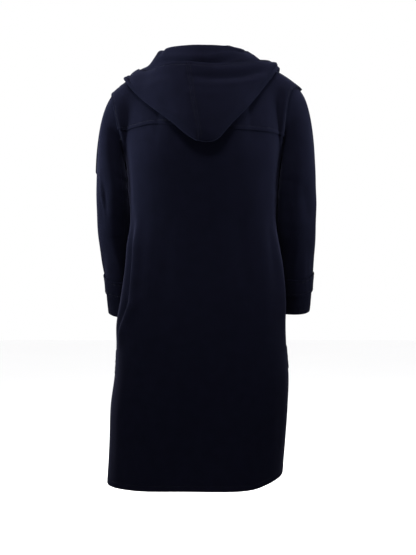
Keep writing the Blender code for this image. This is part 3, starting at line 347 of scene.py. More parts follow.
# creases of the body's cloth, shared by every layer: the side is 1 behind and -1 before
# each row: side, across, lean, low, high, width, depth
RIPPLES = (
    (1, 0.11, 0.08, 0.5, 0.78, 0.03, -0.0014),
    (1, 0.89, -0.08, 0.48, 0.77, 0.03, -0.0014),
    (1, 0.29, 0.03, 0.22, 0.72, 0.03, 0.0015),
    (1, 0.375, 0.02, 0.3, 0.66, 0.024, -0.0013),
    (1, 0.64, -0.03, 0.26, 0.7, 0.028, -0.0016),
    (1, 0.74, -0.02, 0.18, 0.6, 0.03, 0.0014),
    (1, 0.5, 0.01, 0.05, 0.52, 0.034, 0.0012),
    (1, 0.2, 0.01, -0.1, 0.34, 0.028, 0.0018),
    (1, 0.82, -0.02, -0.12, 0.3, 0.03, -0.0018),
    (-1, 0.1, 0.08, 0.46, 0.8, 0.02, -0.0026),
    (-1, 0.165, 0.1, 0.52, 0.84, 0.018, 0.002),
    (-1, 0.9, -0.09, 0.47, 0.8, 0.02, -0.0024),
    (-1, 0.845, -0.1, 0.51, 0.82, 0.017, 0.0018),
    (-1, 0.26, 0.04, 0.28, 0.72, 0.026, -0.0018),
    (-1, 0.33, 0.02, 0.34, 0.78, 0.026, 0.0016),
    (-1, 0.71, -0.04, 0.3, 0.74, 0.026, -0.0018),
    (-1, 0.64, -0.02, 0.34, 0.8, 0.024, 0.0015),
    (-1, 0.16, 0.01, -0.1, 0.3, 0.03, 0.0016),
    (-1, 0.86, -0.01, -0.1, 0.32, 0.028, 0.0016),
)
SWELLS = ((7.0, 3.1, 0.4), (-5.0, 6.3, 1.9), (11.0, -2.2, 3.0), (4.0, 9.5, 0.8), (15.0, 5.0, 2.2))
SWELL_HEIGHT = 0.00035
SIDE_FADE = 0.035  # shares over which creases fade at a side seam, at the top and at the lap
TOP_FADE = 0.05
LAP_FLAT = 0.085
SLEEVE_FADE = 0.08
# short creases across the sleeves: along is 0 at the armhole and 1 at the cuff
# each row: hand, along, lean, first, last, width, depth
BENDS = (
    (1, 0.5, 0.1, 0.58, 0.96, 0.011, -0.0034),
    (1, 0.545, -0.06, 0.6, 1.02, 0.012, 0.0024),
    (1, 0.59, 0.07, 0.56, 0.92, 0.01, -0.003),
    (1, 0.66, -0.09, 0.62, 0.98, 0.012, -0.0022),
    (1, 0.42, 0.12, 0.7, 1.05, 0.013, -0.0024),
    (1, 0.56, 0.08, 0.14, 0.4, 0.012, -0.0016),
    (1, 0.24, -0.14, 0.02, 0.3, 0.016, -0.0024),
    (1, 0.3, -0.1, 0.0, 0.26, 0.016, 0.0018),
    (-1, 0.485, -0.09, 0.57, 0.94, 0.011, -0.0032),
    (-1, 0.535, 0.07, 0.6, 1.0, 0.012, 0.0022),
    (-1, 0.6, -0.08, 0.58, 0.96, 0.011, -0.003),
    (-1, 0.69, 0.08, 0.64, 0.95, 0.012, -0.002),
    (-1, 0.43, -0.11, 0.72, 1.04, 0.013, -0.0022),
    (-1, 0.52, -0.07, 0.12, 0.38, 0.012, -0.0018),
    (-1, 0.25, 0.12, 0.03, 0.3, 0.016, -0.0024),
    (-1, 0.31, 0.1, 0.0, 0.24, 0.016, 0.0018),
)
# long creases down the sleeves; each row: hand, around, lean, low, high, width, depth
LINES = (
    (1, 0.352, -0.06, 0.18, 0.48, 0.012, 0.0036),
    (1, 0.322, -0.06, 0.2, 0.5, 0.014, -0.002),
    (1, 0.445, 0.03, 0.56, 0.94, 0.022, -0.0016),
    (-1, 0.21, 0.04, 0.24, 0.52, 0.018, 0.0022),
    (-1, 0.36, 0.05, 0.5, 0.92, 0.022, -0.0018),
    (-1, 0.44, -0.04, 0.3, 0.62, 0.02, 0.0014),
)
# creases of the hood's outer layer: the distance is from its rim, along is 0 at its centre seam
# each row: distance, slope, first, last, width, depth
HOOD_CREASES = (
    (0.038, 0.01, -0.44, 0.035, 0.0095, -0.006),
    (0.054, 0.012, -0.46, 0.03, 0.009, 0.0026),
    (0.016, 0.0, -0.5, 0.04, 0.011, 0.004),
    (0.03, -0.02, 0.1, 0.52, 0.011, -0.0016),
    (0.075, 0.03, -0.4, 0.1, 0.014, 0.0014),
    (0.11, -0.04, 0.04, 0.4, 0.016, -0.0012),
    (0.05, -0.27, 0.28, 0.66, 0.009, -0.0045),
)
# creases where the hood rolls over behind the neck: through is 0 at the neck seam and 1 at the rim
# each row: first, last, through, slope, width, depth
ROLL_CREASES = (
    (-0.3, 0.4, 0.262, 0.05, 0.011, 0.0034),
    (-0.34, 0.42, 0.292, 0.05, 0.01, -0.004),
    (-0.48, -0.2, 0.215, -0.05, 0.011, 0.002),
    (-0.46, -0.18, 0.236, -0.05, 0.0095, -0.0018),
)
# hollows and tucks through the roll; each row: along, low, high, width, depth
NOTCHES = (
    (0.375, 0.1, 0.3, 0.02, -0.006),
    (0.425, 0.1, 0.3, 0.022, 0.003),
    (-0.395, 0.1, 0.3, 0.024, -0.0034),
    (-0.2, 0.08, 0.26, 0.03, 0.002),
)


def crease(across, along, place, lean, low, high, width, depth, power=1.0):
    """How far one crease moves the cloth: it runs from low to high and leans across on the way."""
    middle = place + lean * (along - 0.5 * (low + high))
    return depth * window(along, low, high) ** power * np.exp(-((across - middle) / width) ** 2)


def creases(rows, across, along):
    """The creases of a table whose leans are over their whole run."""
    return sum(crease(across, along, place, lean / (high - low), low, high, width, depth)
               for place, lean, low, high, width, depth in rows)


def swells(across, up, shift=0.0, closed=False):
    """Very low, wide waves in the cloth, which meet round a closed piece."""
    total = 0.0
    for wide, tall, start in SWELLS:
        waves = round(0.3 * wide) if closed else wide
        total = total + SWELL_HEIGHT * np.sin(2.0 * math.pi * (waves * across + tall * up) + start + shift)
    return total


# ---------------- the body's surface

def body_ring(angle, height):
    """A point on the inside of the cloth; the angle is 0 at the left side seam, in radians."""
    left, right = BODY.at("left", height), BODY.at("right", height)
    sine = (np.sin(angle) + SQUARENESS * np.sin(3.0 * angle)) / (1.0 - SQUARENESS)
    cosine = (np.cos(angle) - SQUARENESS * np.cos(3.0 * angle)) / (1.0 - SQUARENESS)
    depth = np.where(sine > 0.0, BODY.at("back", height), BODY.at("front", height))
    fold = 0.0
    for place, lean, low, high, width, size in BODY_FOLDS:
        middle = place + lean * (height - 0.5 * (low + high)) / (high - low)
        turn = (np.degrees(angle) - middle + 180.0) % 360.0 - 180.0
        fold = fold + size * window(height, low, high) * np.exp(-(turn / width) ** 2)
    across = 0.5 * (left + right) + (0.5 * (left - right) + fold) * cosine
    return vector(across, BODY.at("middle", height) + (depth + fold) * sine, height)


def top_edge(side, across):
    """The shoulder seams and the neck's edge, and how the cloth reaches them."""
    depth, drop, power, forward_pull, upward_pull = NECK_SHAPES[side]
    turn = math.pi * np.clip((across - NECK_START) / (1.0 - 2.0 * NECK_START), 0.0, 1.0)
    sine = np.sin(turn)
    neck = vector(NECK_HALF_WIDTH * np.cos(turn), side * depth * sine, -drop * sine ** power)
    left = across < 0.5
    hand = np.where(left, 1.0, -1.0)
    near = np.where(left, across, 1.0 - across)
    out = np.clip(1.0 - near / NECK_START, 0.0, 1.0)
    reach = (np.where(left, SHOULDER_LEFT, -SHOULDER_RIGHT) - NECK_HALF_WIDTH) * out
    shoulder = vector(hand * (NECK_HALF_WIDTH + reach), 0.0, -SHOULDER_CURVE * reach ** 2)
    edge = np.where((out > 0.0)[..., None], shoulder, neck)
    edge[..., 2] -= SHOULDER_TILT * edge[..., 0]
    inside = ease((near - NECK_START) / (0.5 - NECK_START))
    outward = np.where(left, -SEAM_BEND_LEFT, -SEAM_BEND_RIGHT) * out ** 2
    slope = -2.0 * SHOULDER_CURVE * hand * reach - SHOULDER_TILT
    forward = SHOULDER_ROUND * (1.0 - inside) + forward_pull * inside
    return edge, vector(outward, -side * forward, upward_pull * inside + outward * slope)


def body_point(side, across, up):
    """A point inside the back (1) or the front (-1): across from the left side seam, up from the hem."""
    across, up = shares(across, up)
    angle = side * math.pi * across
    hem = HEM_HEIGHT + HEM_RISE_RIGHT * np.exp(-((np.cos(angle) + 1.0) / HEM_RISE_REACH) ** 2)
    lower = body_ring(angle, hem + (UNDERARM_HEIGHT - hem) * np.clip(up / UNDERARM_UP, None, 1.0))
    start = body_ring(angle, np.full_like(across, UNDERARM_HEIGHT))
    below = body_ring(angle, np.full_like(across, UNDERARM_HEIGHT - SLOPE_DROP))
    edge, pull = top_edge(side, across)
    start_pull = (start - below) / SLOPE_DROP * (edge[..., 2:] - UNDERARM_HEIGHT)
    near = np.minimum(across, 1.0 - across)
    start_pull[..., 1] += side * ARMHOLE_SCOOP * np.exp(-(near / ARMHOLE_SCOOP_WIDTH) ** 2)
    over = np.clip((up - UNDERARM_UP) / (1.0 - UNDERARM_UP), 0.0, None)
    upper = hermite(start, start_pull, edge, pull, over[..., None])
    return np.where((up > UNDERARM_UP)[..., None], upper, lower)


def body_slopes(side, across, up):
    """How the surface runs across and up at a point."""
    low, high = np.maximum(up - SLOPE_STEP, 0.0), np.minimum(up + SLOPE_STEP, 1.0)
    left, right = np.maximum(across - SLOPE_STEP, 0.0), np.minimum(across + SLOPE_STEP, 1.0)
    slope_across = (body_point(side, right, up) - body_point(side, left, up)) / (right - left)[..., None]
    slope_up = (body_point(side, across, high) - body_point(side, across, low)) / (high - low)[..., None]
    return slope_across, slope_up


def body_normal(side, across, up):
    """The direction out of the cloth."""
    return side * unit(np.cross(*body_slopes(side, *shares(across, up))))


def up_at_height(side, across, height):
    """The share up the panel at which a column reaches a height."""
    ups = np.linspace(0.0, 1.0, 201)
    across, height = shares(across, height)
    columns = np.maximum.accumulate(body_point(side, across[..., None], ups)[..., 2], axis=-1)
    found = np.empty(across.shape)
    for place in np.ndindex(across.shape):
        found[place] = np.interp(height[place], columns[place], ups)
    return found


def front_share(sideways, height):
    """The shares across and up the front of the place that lies sideways of the middle, at a height."""
    sideways, height = shares(sideways, height)
    across = np.full_like(sideways, 0.5)
    middle = body_point(-1, across, up_at_height(-1, across, height))[..., 0]
    for _ in range(5):
        up = up_at_height(-1, across, height)
        slope = body_slopes(-1, across, up)[0][..., 0]
        across = across + (middle + sideways - body_point(-1, across, up)[..., 0]) / slope
    return across, up_at_height(-1, across, height)


def front_lift(across):
    """The left front is moved out where it laps over the right one."""
    return LAYER * np.clip((across - RAMP_START) / (RAMP_END - RAMP_START), 0.0, 1.0)


def yoke_up(side, across):
    return up_at_height(side, across, YOKE_EDGE.at("height", across) if side > 0 else YOKE_FRONT_HEIGHT)


# ---------------- the sleeves' and the hood's surfaces

def armhole(hand, around):
    """The armhole's edge, with the directions out of the cloth and into the armhole."""
    behind = (around <= 0.5)[..., None]
    climb = np.where(around <= 0.5, around, 1.0 - around) * 2.0
    up = UNDERARM_UP + (1.0 - UNDERARM_UP) * climb * 0.9999
    edge = np.full_like(up, 0.0 if hand > 0 else 1.0)
    sides = []
    for side in (1, -1):
        slope_across, slope_up = body_slopes(side, edge, up)
        out = side * unit(np.cross(slope_across, slope_up))
        into = unit(np.cross(out, unit(slope_up)))
        into = into * np.sign(np.sum(into * slope_across, axis=-1, keepdims=True)) * -hand
        sides.append((body_point(side, edge, up), out, into))
    point, out, into = (np.where(behind, back_one, front_one) for back_one, front_one in zip(*sides))
    underarm = (climb < 0.0001)[..., None]
    out = np.where(underarm, unit(sides[0][1] + sides[1][1]), out)
    into = np.where(underarm, unit(sides[0][2] + sides[1][2]), into)
    return point, out, into


def sleeve_ring(hand, around, height):
    """A point on the outside of the free part of a sleeve."""
    table = SLEEVES[hand]
    half = 0.5 * table.at("across", height)
    turn = 2.0 * math.pi * around
    fore = table.at("half_fore", height) * np.sin(turn)
    tilt = np.radians(table.at("tilt", height))
    outer = table.at("outer", height) - half - half * np.cos(turn)
    forward = table.at("fore", height) + fore * np.cos(tilt)
    return vector(hand * outer, forward, height - fore * np.sin(tilt))


def sleeve_point(hand, around, along):
    """A point on the outside of a sleeve: along is 0 at the armhole and 1 at the cuff."""
    around, along = shares(around, along)
    last, first = SLEEVES[hand].rows[[0, -1], 0]
    edge, out, into = armhole(hand, around % 1.0)
    upward = ease(np.clip(1.0 - np.abs((around % 1.0) - 0.5) * 2.0, 0.0, 1.0))[..., None]
    turn = np.radians(HEAD_TURN[0] + HEAD_TURN[1] * upward ** 2)
    leave = into * np.cos(turn) + out * np.sin(turn)
    start = edge + into * GAP - out * GAP * upward
    ring = sleeve_ring(hand, around, np.full_like(around, first))
    below = sleeve_ring(hand, around, np.full_like(around, first - SLOPE_DROP))
    share = np.clip(along / HEAD_SHARE, 0.0, 1.0)[..., None]
    head = hermite(start, leave * (HEAD_LEAVE[0] + HEAD_LEAVE[1] * upward), ring,
                   unit(below - ring) * (HEAD_SETTLE[0] + HEAD_SETTLE[1] * upward), share)
    down = np.clip((along - HEAD_SHARE) / (1.0 - HEAD_SHARE), 0.0, 1.0)
    free = sleeve_ring(hand, around, first + (last - first) * down)
    return np.where((along > HEAD_SHARE)[..., None], free, head)


def sleeve_surface(hand, around, along):
    """The outside of a sleeve with its wide creases, and the direction out of it."""
    around, along = shares(around, along)
    high, low = np.minimum(along + SLOPE_STEP, 1.0), np.maximum(along - SLOPE_STEP, 0.0)
    slope_along = sleeve_point(hand, around, high) - sleeve_point(hand, around, low)
    slope_around = (sleeve_point(hand, around + SLOPE_STEP, along)
                    - sleeve_point(hand, around - SLOPE_STEP, along))
    out = hand * unit(np.cross(slope_around, slope_along))
    return sleeve_point(hand, around, along) + out * creases(SLEEVE_CREASES, around, along)[..., None], out


def ring_normals(grid, out):
    """The directions out of a grid whose first and last columns are the same, on the side of out."""
    closed = np.concatenate([grid[:, -2:-1], grid, grid[:, 1:2]], axis=1)
    normals = unit(np.cross(np.gradient(closed, axis=1)[:, 1:-1], np.gradient(grid, axis=0)))
    return normals * np.sign(np.sum(normals[-1] * out[-1]))


def neck_edge(along):
    """The neck seam, on top of the panels' layers: points, and the directions out of the cloth and past it.

    Along is 0 at the middle back, 0.5 at a shoulder and 1 near the middle front.
    """
    points = np.empty((len(along), 3))
    outs = np.empty((len(along), 3))
    for place, reach in enumerate(along):
        behind = abs(reach) <= 0.5
        panel = back if behind else (left if reach > 0.0 else right)
        share = 1.0 - abs(reach) / 0.5 if behind else (abs(reach) - 0.5) / 0.5 * NECK_FRONT_SHARE
        across = NECK_START + (0.5 - NECK_START) * share
        across = across if reach >= 0.0 else 1.0 - across
        columns = panel.across[-1]
        layers = np.full_like(columns, 2.0 * LAYER)
        if panel is left:
            layers += front_lift(columns)
        if panel is right:
            layers[columns < FRONT_YOKE_START] = 3.0 * LAYER
        points[place] = read_at(across, columns, panel.base[-1] + panel.out[-1] * layers[:, None])
        outs[place] = read_at(across, columns, panel.out[-1])
    outs = unit(outs)
    past = unit(np.cross(np.gradient(points, axis=0), outs))
    inward = np.sum(past[:, :2] * -points[:, :2], axis=-1)
    return points, outs, past * np.sign(inward)[:, None]


def fold_radius(along):
    """The turn at the bottom of the hood, which lies flatter on the shoulders."""
    return FOLD_RADIUS * (1.0 - 0.62 * window(np.abs(along), 0.20, 0.90))


def hood_middle(along, start, through):
    """The middle of the hood's cloth: through is 0 at the neck seam and 1 at the rim."""
    roll, fold, rim = (HOOD.point(name, along) for name in ("roll", "fold", "rim"))
    inner = (1.0 - INNER_DOWN) * roll + INNER_DOWN * fold
    upward = unit(roll - fold)
    outward = -unit(np.cross(np.gradient(fold, axis=0), upward))
    radius = fold_radius(along)[:, None]
    turn_in = fold + radius * 1.6 * upward
    turn_out = fold + radius * (1.6 * upward + 2.0 * outward)
    fullness = HOOD_FULLNESS * (1.0 - HOOD_FLATTER * window(along, 0.25, 0.95))[:, None]
    outer = (1.0 - OUTER_UP) * fold + OUTER_UP * rim + fullness * outward
    keys = np.stack([start, roll, inner, turn_in, fold + radius * outward, turn_out, outer, rim])
    return smooth_curve(HOOD_PLACES, keys, through)


# ---------------- shells of cloth


def lines(length, spacing=SPACING, low=EDGE, high=EDGE):
    """Distances from 0 to a length, closer together along the edges."""
    first, last = low[-1], length - high[-1]
    count = max(int(round((last - first) / spacing)), 1)
    between = np.linspace(first, last, count + 1)[1:-1]
    return np.concatenate([low, between, length - np.array(high)[::-1]])


def ripple(side, across, up):
    """How far the body's cloth is moved out by its creases."""
    total = creases([row[1:] for row in RIPPLES if row[0] == side], across, up)
    total = total + swells(0.4 * across, 0.5 * up, side)
    total = total * ease(np.minimum(across, 1.0 - across) / SIDE_FADE) * ease((1.0 - up) / TOP_FADE)
    return total * (ease((np.abs(across - 0.5) - LAP_FLAT) / TOP_FADE) if side < 0 else 1.0)


class Sheet:
    """A grid of points on the body's cloth, at shares across and up, with the directions out of it."""

    def __init__(self, side, across, up):
        self.side = side
        self.across, self.up = np.broadcast_arrays(across, up)
        rough = body_normal(side, self.across, self.up)
        moved = rough * ripple(side, self.across, self.up)[..., None]
        self.base = body_point(side, self.across, self.up) + moved
        out = normals_of(self.base)
        self.out = out * np.where(np.sum(out * rough, axis=-1, keepdims=True) < 0.0, -1.0, 1.0)

    def lifted(self, lift):
        return self.base + self.out * np.broadcast_to(lift, self.across.shape)[..., None]


def round_off(distance, radius):
    """The profile of a round edge."""
    share = np.clip(distance / radius, 0.0, 1.0)
    return np.sqrt(np.maximum(1.0 - (1.0 - share) ** 2, 0.0))


def mesh_object(name, points, faces, material):
    mesh = bpy.data.meshes.new(name)
    mesh.from_pydata(np.asarray(points).tolist(), [], faces)
    mesh.validate()
    mesh.shade_smooth()
    item = bpy.data.objects.new(name, mesh)
    bpy.context.scene.collection.objects.link(item)
    mesh.materials.append(material)
    return item


def place_piece(item, slot, *nodes):
    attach(item, "root")
    if nodes:
        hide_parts(*nodes)
    return item


def quads(index, flipped=False):
    corners = np.stack([index[:-1, :-1], index[:-1, 1:], index[1:, 1:], index[1:, :-1]], axis=-1)
    return corners.reshape(-1, 4)[:, ::-1 if flipped else 1].tolist()


class Shell:
    """A closed piece of cloth with round edges, over distances across and up its cut.

    Each row of stitches is an edge, the distance from it, and the shares of it where they start and end.
    """

    def __init__(self, kind, node, wide, tall, middle, out, stitches,
                 thickness=CLOTH, material=None, pucker=PUCKER, butted=None):
        self.wide, self.tall, self.out = wide - wide[0], tall - tall[0], out
        radius = 0.5 * thickness
        squared = [BUTTED if edge == butted else 1.0 for edge in ("left", "right")]
        across = np.minimum(self.wide * squared[0], (self.wide[-1] - self.wide) * squared[1])[None, :]
        up = np.minimum(self.tall, self.tall[-1] - self.tall)[:, None]
        half = radius * np.minimum(round_off(across, radius), round_off(up, radius))
        relief = np.zeros(half.shape)
        for edge, distance, start, end in stitches:
            place, run = self.edge_distances(edge)
            share = run / np.max(run)
            on = ease((share - start) / 0.01 + 1.0) * ease((end - share) / 0.01 + 1.0)
            wave = np.sin(run * 2.0 * math.pi / PUCKER_LENGTH + 3.0 * np.sin(run * 31.0))
            wave = pucker * (wave + 0.6 * np.sin(run * 231.0))
            relief = relief - GROOVE * on * np.exp(-((place - distance) / GROOVE_WIDTH) ** 2)
            relief = relief + wave * on * np.exp(-((place - distance) / PUCKER_WIDTH) ** 2)
        self.outer = middle + out * (half + relief * half / radius)[..., None]
        inner = middle - out * half[..., None]
        rows, columns = half.shape
        outside = np.arange(rows * columns).reshape(rows, columns)
        inside = outside.copy()
        inside[1:-1, 1:-1] = rows * columns + np.arange((rows - 2) * (columns - 2)).reshape(rows - 2, -1)
        points = np.concatenate([self.outer.reshape(-1, 3), inner[1:-1, 1:-1].reshape(-1, 3)])
        faces = quads(outside) + quads(inside, True)
        row, column = rows // 2, columns // 2
        here = self.outer[row, column]
        turn = np.cross(self.outer[row, column + 1] - here, self.outer[row + 1, column] - here)
        if np.dot(turn, out[row, column]) < 0.0:
            faces = [face[::-1] for face in faces]
        self.item = mesh_object(kind + "_" + node, points, faces, material or WOOL)
        place_piece(self.item, kind, node)
        runs = [self.along_edge(*stitch) for stitch in stitches]
        self.sewing = [place_piece(stitch_object("stitches_" + node, runs), "wool")]

    def edge_distances(self, edge):
        """How far each point is from an edge, and how far along it."""
        wide, tall = np.meshgrid(self.wide, self.tall)
        return {"left": (wide, tall), "right": (self.wide[-1] - wide, tall),
                "low": (tall, wide), "high": (self.tall[-1] - tall, wide)}[edge]

    def along_edge(self, edge, distance, start, end):
        """The line on the outside that runs at a distance from an edge, and the directions out of it."""
        grids, places, run = (self.outer, self.out), self.tall, self.wide
        if edge in ("left", "right"):
            grids = [grid.swapaxes(0, 1) for grid in grids]
            places, run = run, places
        target = distance if edge in ("left", "low") else places[-1] - distance
        after = int(np.clip(np.searchsorted(places, target), 1, len(places) - 1))
        share = (target - places[after - 1]) / (places[after] - places[after - 1])
        keep = (run >= start * run[-1] + 0.002) & (run <= end * run[-1] - 0.002)
        return [(grid[after - 1] * (1.0 - share) + grid[after] * share)[keep] for grid in grids]


def stitch_object(name, runs):
    """Rows of short stitches as one mesh."""
    points = []
    faces = []
    for line, out in runs:
        reach = reach_along(line)
        count = int(reach[-1] / STITCH_PITCH)
        starts = (np.arange(count) + 0.5) * (reach[-1] / max(count, 1)) - 0.5 * STITCH_LENGTH
        first, last = read_at(starts, reach, line), read_at(starts + STITCH_LENGTH, reach, line)
        up = unit(read_at(starts + 0.5 * STITCH_LENGTH, reach, out))
        along = unit(last - first)
        side = np.cross(up, along) * THREAD_RADIUS
        sink = up * THREAD_RADIUS
        inset = along * 0.22 * STITCH_LENGTH
        for number in range(count):
            base = len(points)
            points.append(first[number] - sink[number])
            for ring in (first[number] + inset[number], last[number] - inset[number]):
                points += [ring + side[number], ring + 0.9 * sink[number]]
                points += [ring - side[number], ring - sink[number]]
            points.append(last[number] - sink[number])
            for turn in range(4):
                near, after = base + 1 + turn, base + 1 + (turn + 1) % 4
                faces += [(base, after, near), (near, after, after + 4, near + 4)]
                faces.append((base + 9, near + 4, after + 4))
    return mesh_object(name, points, faces, THREAD)


# ---------------- materials

def noise(tree, scale, detail=3.0, roughness=0.5, stretch=(1.0, 1.0, 1.0)):
    place = tree.nodes.new("ShaderNodeTexCoord").outputs["Object"]
    mapping = tree.nodes.new("ShaderNodeMapping")
    node = tree.nodes.new("ShaderNodeTexNoise")
    mapping.inputs["Scale"].default_value = stretch
    for socket, value in (("Scale", scale), ("Detail", detail), ("Roughness", roughness)):
        node.inputs[socket].default_value = value
    tree.links.new(place, mapping.inputs["Vector"])
    tree.links.new(mapping.outputs["Vector"], node.inputs["Vector"])
    return node.outputs["Fac"]


def pattern(tree, first, second=None, share=0.0):
    """One noise, or a mix of two; each is its scale, detail, roughness and stretch."""
    if second is None:
        return noise(tree, *first)
    node = tree.nodes.new("ShaderNodeMix")
    node.inputs["Factor"].default_value = share
    tree.links.new(noise(tree, *first), node.inputs["A"])
    tree.links.new(noise(tree, *second), node.inputs["B"])
    return node.outputs["Result"]


def cells(tree, scale):
    """The distance from the edges of small cells, for the grain of leather."""
    node = tree.nodes.new("ShaderNodeTexVoronoi")
    node.feature = "DISTANCE_TO_EDGE"
    node.inputs["Scale"].default_value = scale
    tree.links.new(tree.nodes.new("ShaderNodeTexCoord").outputs["Object"], node.inputs["Vector"])
    return node.outputs["Distance"]


def ramp(tree, source, *stops):
    node = tree.nodes.new("ShaderNodeValToRGB")
    element = node.color_ramp.elements
    while len(element) < len(stops):
        element.new(0.5)
    for item, (place, colour) in zip(element, stops):
        item.position = place
        item.color = (*colour, 1.0)
    tree.links.new(source, node.inputs["Fac"])
    return node.outputs["Color"]


def make_material(name, tone, tones, rough=None, relief=None, **values):
    """A material whose colour, roughness and relief follow patterns; the values are the same all over.

    Rough is a noise's scale with the least and greatest roughness; relief is a pattern, or the scale of a
    leather's grain, with its height and strength.
    """
    material = bpy.data.materials.new(name)
    material.use_nodes = True
    tree = material.node_tree
    shader = tree.nodes["Principled BSDF"]
    for socket, value in values.items():
        shader.inputs[socket.replace("_", " ")].default_value = value
    tree.links.new(ramp(tree, pattern(tree, *tone), *tones), shader.inputs["Base Color"])
    if rough:
        scale, least, most = rough
        greys = ramp(tree, noise(tree, scale), (0.2, (least,) * 3), (0.8, (most,) * 3))
        tree.links.new(greys, shader.inputs["Roughness"])
    if relief:
        source, height, strength = relief
        node = tree.nodes.new("ShaderNodeBump")
        node.inputs["Distance"].default_value = height
        node.inputs["Strength"].default_value = strength
        felt = pattern(tree, *source) if isinstance(source, tuple) else cells(tree, source)
        tree.links.new(felt, node.inputs["Height"])
        tree.links.new(node.outputs["Normal"], shader.inputs["Normal"])
    return material


WOOL = make_material(
    "navy_melton", ((42.0,), (620.0, 2.0, 0.6), 0.45),
    ((0.30, (0.00096, 0.00104, 0.0022)), (0.72, (0.00136, 0.00142, 0.0032))),
    (180.0, 0.86, 1.0), (((1500.0, 3.0, 0.7), (330.0, 3.0, 0.6), 0.4), 0.0007, 0.5),
    Specular_IOR_Level=0.002, Sheen_Weight=0.016, Sheen_Roughness=0.40, Sheen_Tint=(0.54, 0.56, 1.0, 1.0))
THREAD = make_material(
    "navy_thread", ((900.0,),), ((0.3, (0.0010, 0.0011, 0.0024)), (0.7, (0.0016, 0.0018, 0.0038))),
    (2600.0, 0.55, 0.8), (((2600.0,),), 0.0002, 0.4), Specular_IOR_Level=0.08)
CORD = make_material(
    "waxed_cord", ((700.0,),), ((0.3, (0.0060, 0.0050, 0.0048)), (0.7, (0.0180, 0.0155, 0.0140))),
    (1300.0, 0.5, 0.78), (((2300.0, 2.0, 0.6, (1.0, 1.0, 0.4)),), 0.0003, 0.5), Specular_IOR_Level=0.15)
LEATHER = make_material(
    "dark_leather", ((160.0, 4.0),), ((0.3, (0.0050, 0.0034, 0.0030)), (0.7, (0.0120, 0.0082, 0.0068))),
    (420.0, 0.42, 0.62), (900.0, 0.0004, 0.5), Specular_IOR_Level=0.14)
STREAKS = ((60.0, 5.0, 0.6, (0.25, 1.0, 1.6)), (420.0, 3.0, 0.6, (0.2, 1.0, 1.0)), 0.3)
HORN = make_material(
    "dark_horn", STREAKS,
    ((0.30, (0.012, 0.006, 0.004)), (0.52, (0.055, 0.026, 0.011)), (0.74, (0.150, 0.085, 0.040))),
    (300.0, 0.26, 0.42), (STREAKS, 0.0002, 0.3),
    Specular_IOR_Level=0.4, Coat_Weight=0.20, Coat_Roughness=0.18)


# ---------------- the body

below_arm = lines(BODY_LOW, low=HEM, high=(0.0,))
below_seam = lines(UPPER_LOW, low=(0.0,), high=JOIN)
above_seam = lines(BODY_HIGH - UPPER_LOW, low=JOIN)
panel_tall = np.concatenate([below_arm[:-1], BODY_LOW + below_seam[:-1], BODY_LOW + UPPER_LOW + above_seam])
UNDERARM_AT = len(below_arm) - 1
SEAM_AFTER = len(below_seam) - 1
ARMHOLE = (BODY_LOW + 0.01) / (BODY_LOW + BODY_HIGH)
back_wide = lines(BODY_WIDTH)
left_wide = lines(FRONT_EDGE * BODY_WIDTH)
right_wide = BODY_WIDTH - left_wide[::-1]


def panel_sheet(side, wide):
    """A panel's points, in rows that follow the underarm and the sleeves' seams."""
    across = wide[None, :] / BODY_WIDTH
    seam = UNDERARM_UP + SEAM_SHARE_UP * (yoke_up(side, across) - UNDERARM_UP)
    return Sheet(side, across, np.concatenate([
        below_arm[:-1, None] / BODY_LOW * UNDERARM_UP + 0.0 * across,
        UNDERARM_UP + below_seam[:-1, None] / below_seam[-1] * (seam - UNDERARM_UP),
        seam + above_seam[:, None] / above_seam[-1] * (1.0 - seam),
    ]))


back, left, right = panel_sheet(1, back_wide), panel_sheet(-1, left_wide), panel_sheet(-1, right_wide)
lapped = front_lift(left.across)
for node, sheet, wide, lift, left_start, right_start in (
        ("back_panel", back, back_wide, 0.0, ARMHOLE, ARMHOLE),
        ("front_left", left, left_wide, lapped, ARMHOLE, 0.0),
        ("front_right", right, right_wide, 0.0, 0.0, ARMHOLE)):
    Shell("wool", node, wide, panel_tall, sheet.lifted(lift + CLOTH / 2), sheet.out, (
        ("low", HEM_STITCH, 0.0, 1.0), ("left", STITCH_IN, left_start, 0.985),
        ("right", STITCH_IN, right_start, 0.985)))


def build_yoke(node, side, wide, lap):
    """A second layer over the shoulders, and how far it is moved out."""
    across = wide[None, :] / BODY_WIDTH
    tall = lines(YOKE_TALL)
    edge = yoke_up(side, across)
    sheet = Sheet(side, across, edge + tall[:, None] / tall[-1] * (1.0 - edge))
    lift = LAYER + (front_lift(sheet.across) if lap else 0.0)
    shoulder = NECK_START - 0.01 if side > 0 else 1.0
    Shell("wool", node, wide, tall, sheet.lifted(lift + CLOTH / 2), sheet.out, [
        (name, STITCH_IN, 0.0, end)
        for name, end in (("low", 1.0), ("high", shoulder), ("left", 1.0), ("right", 1.0))])
    return sheet, lift


yoke_right_wide = BODY_WIDTH - lines((1.0 - FRONT_YOKE_START) * BODY_WIDTH)[::-1]
layers = [(back, 0.0), (left, lapped), (right, 0.0)]
layers += [build_yoke("yoke_back", 1, back_wide, False), build_yoke("yoke_front_left", -1, left_wide, True),
           build_yoke("yoke_front_right", -1, yoke_right_wide, False)]


def climb_of(height):
    """Distance up a panel of a height below the underarm."""
    return (height - HEM_HEIGHT) / (UNDERARM_HEIGHT - HEM_HEIGHT) * BODY_LOW


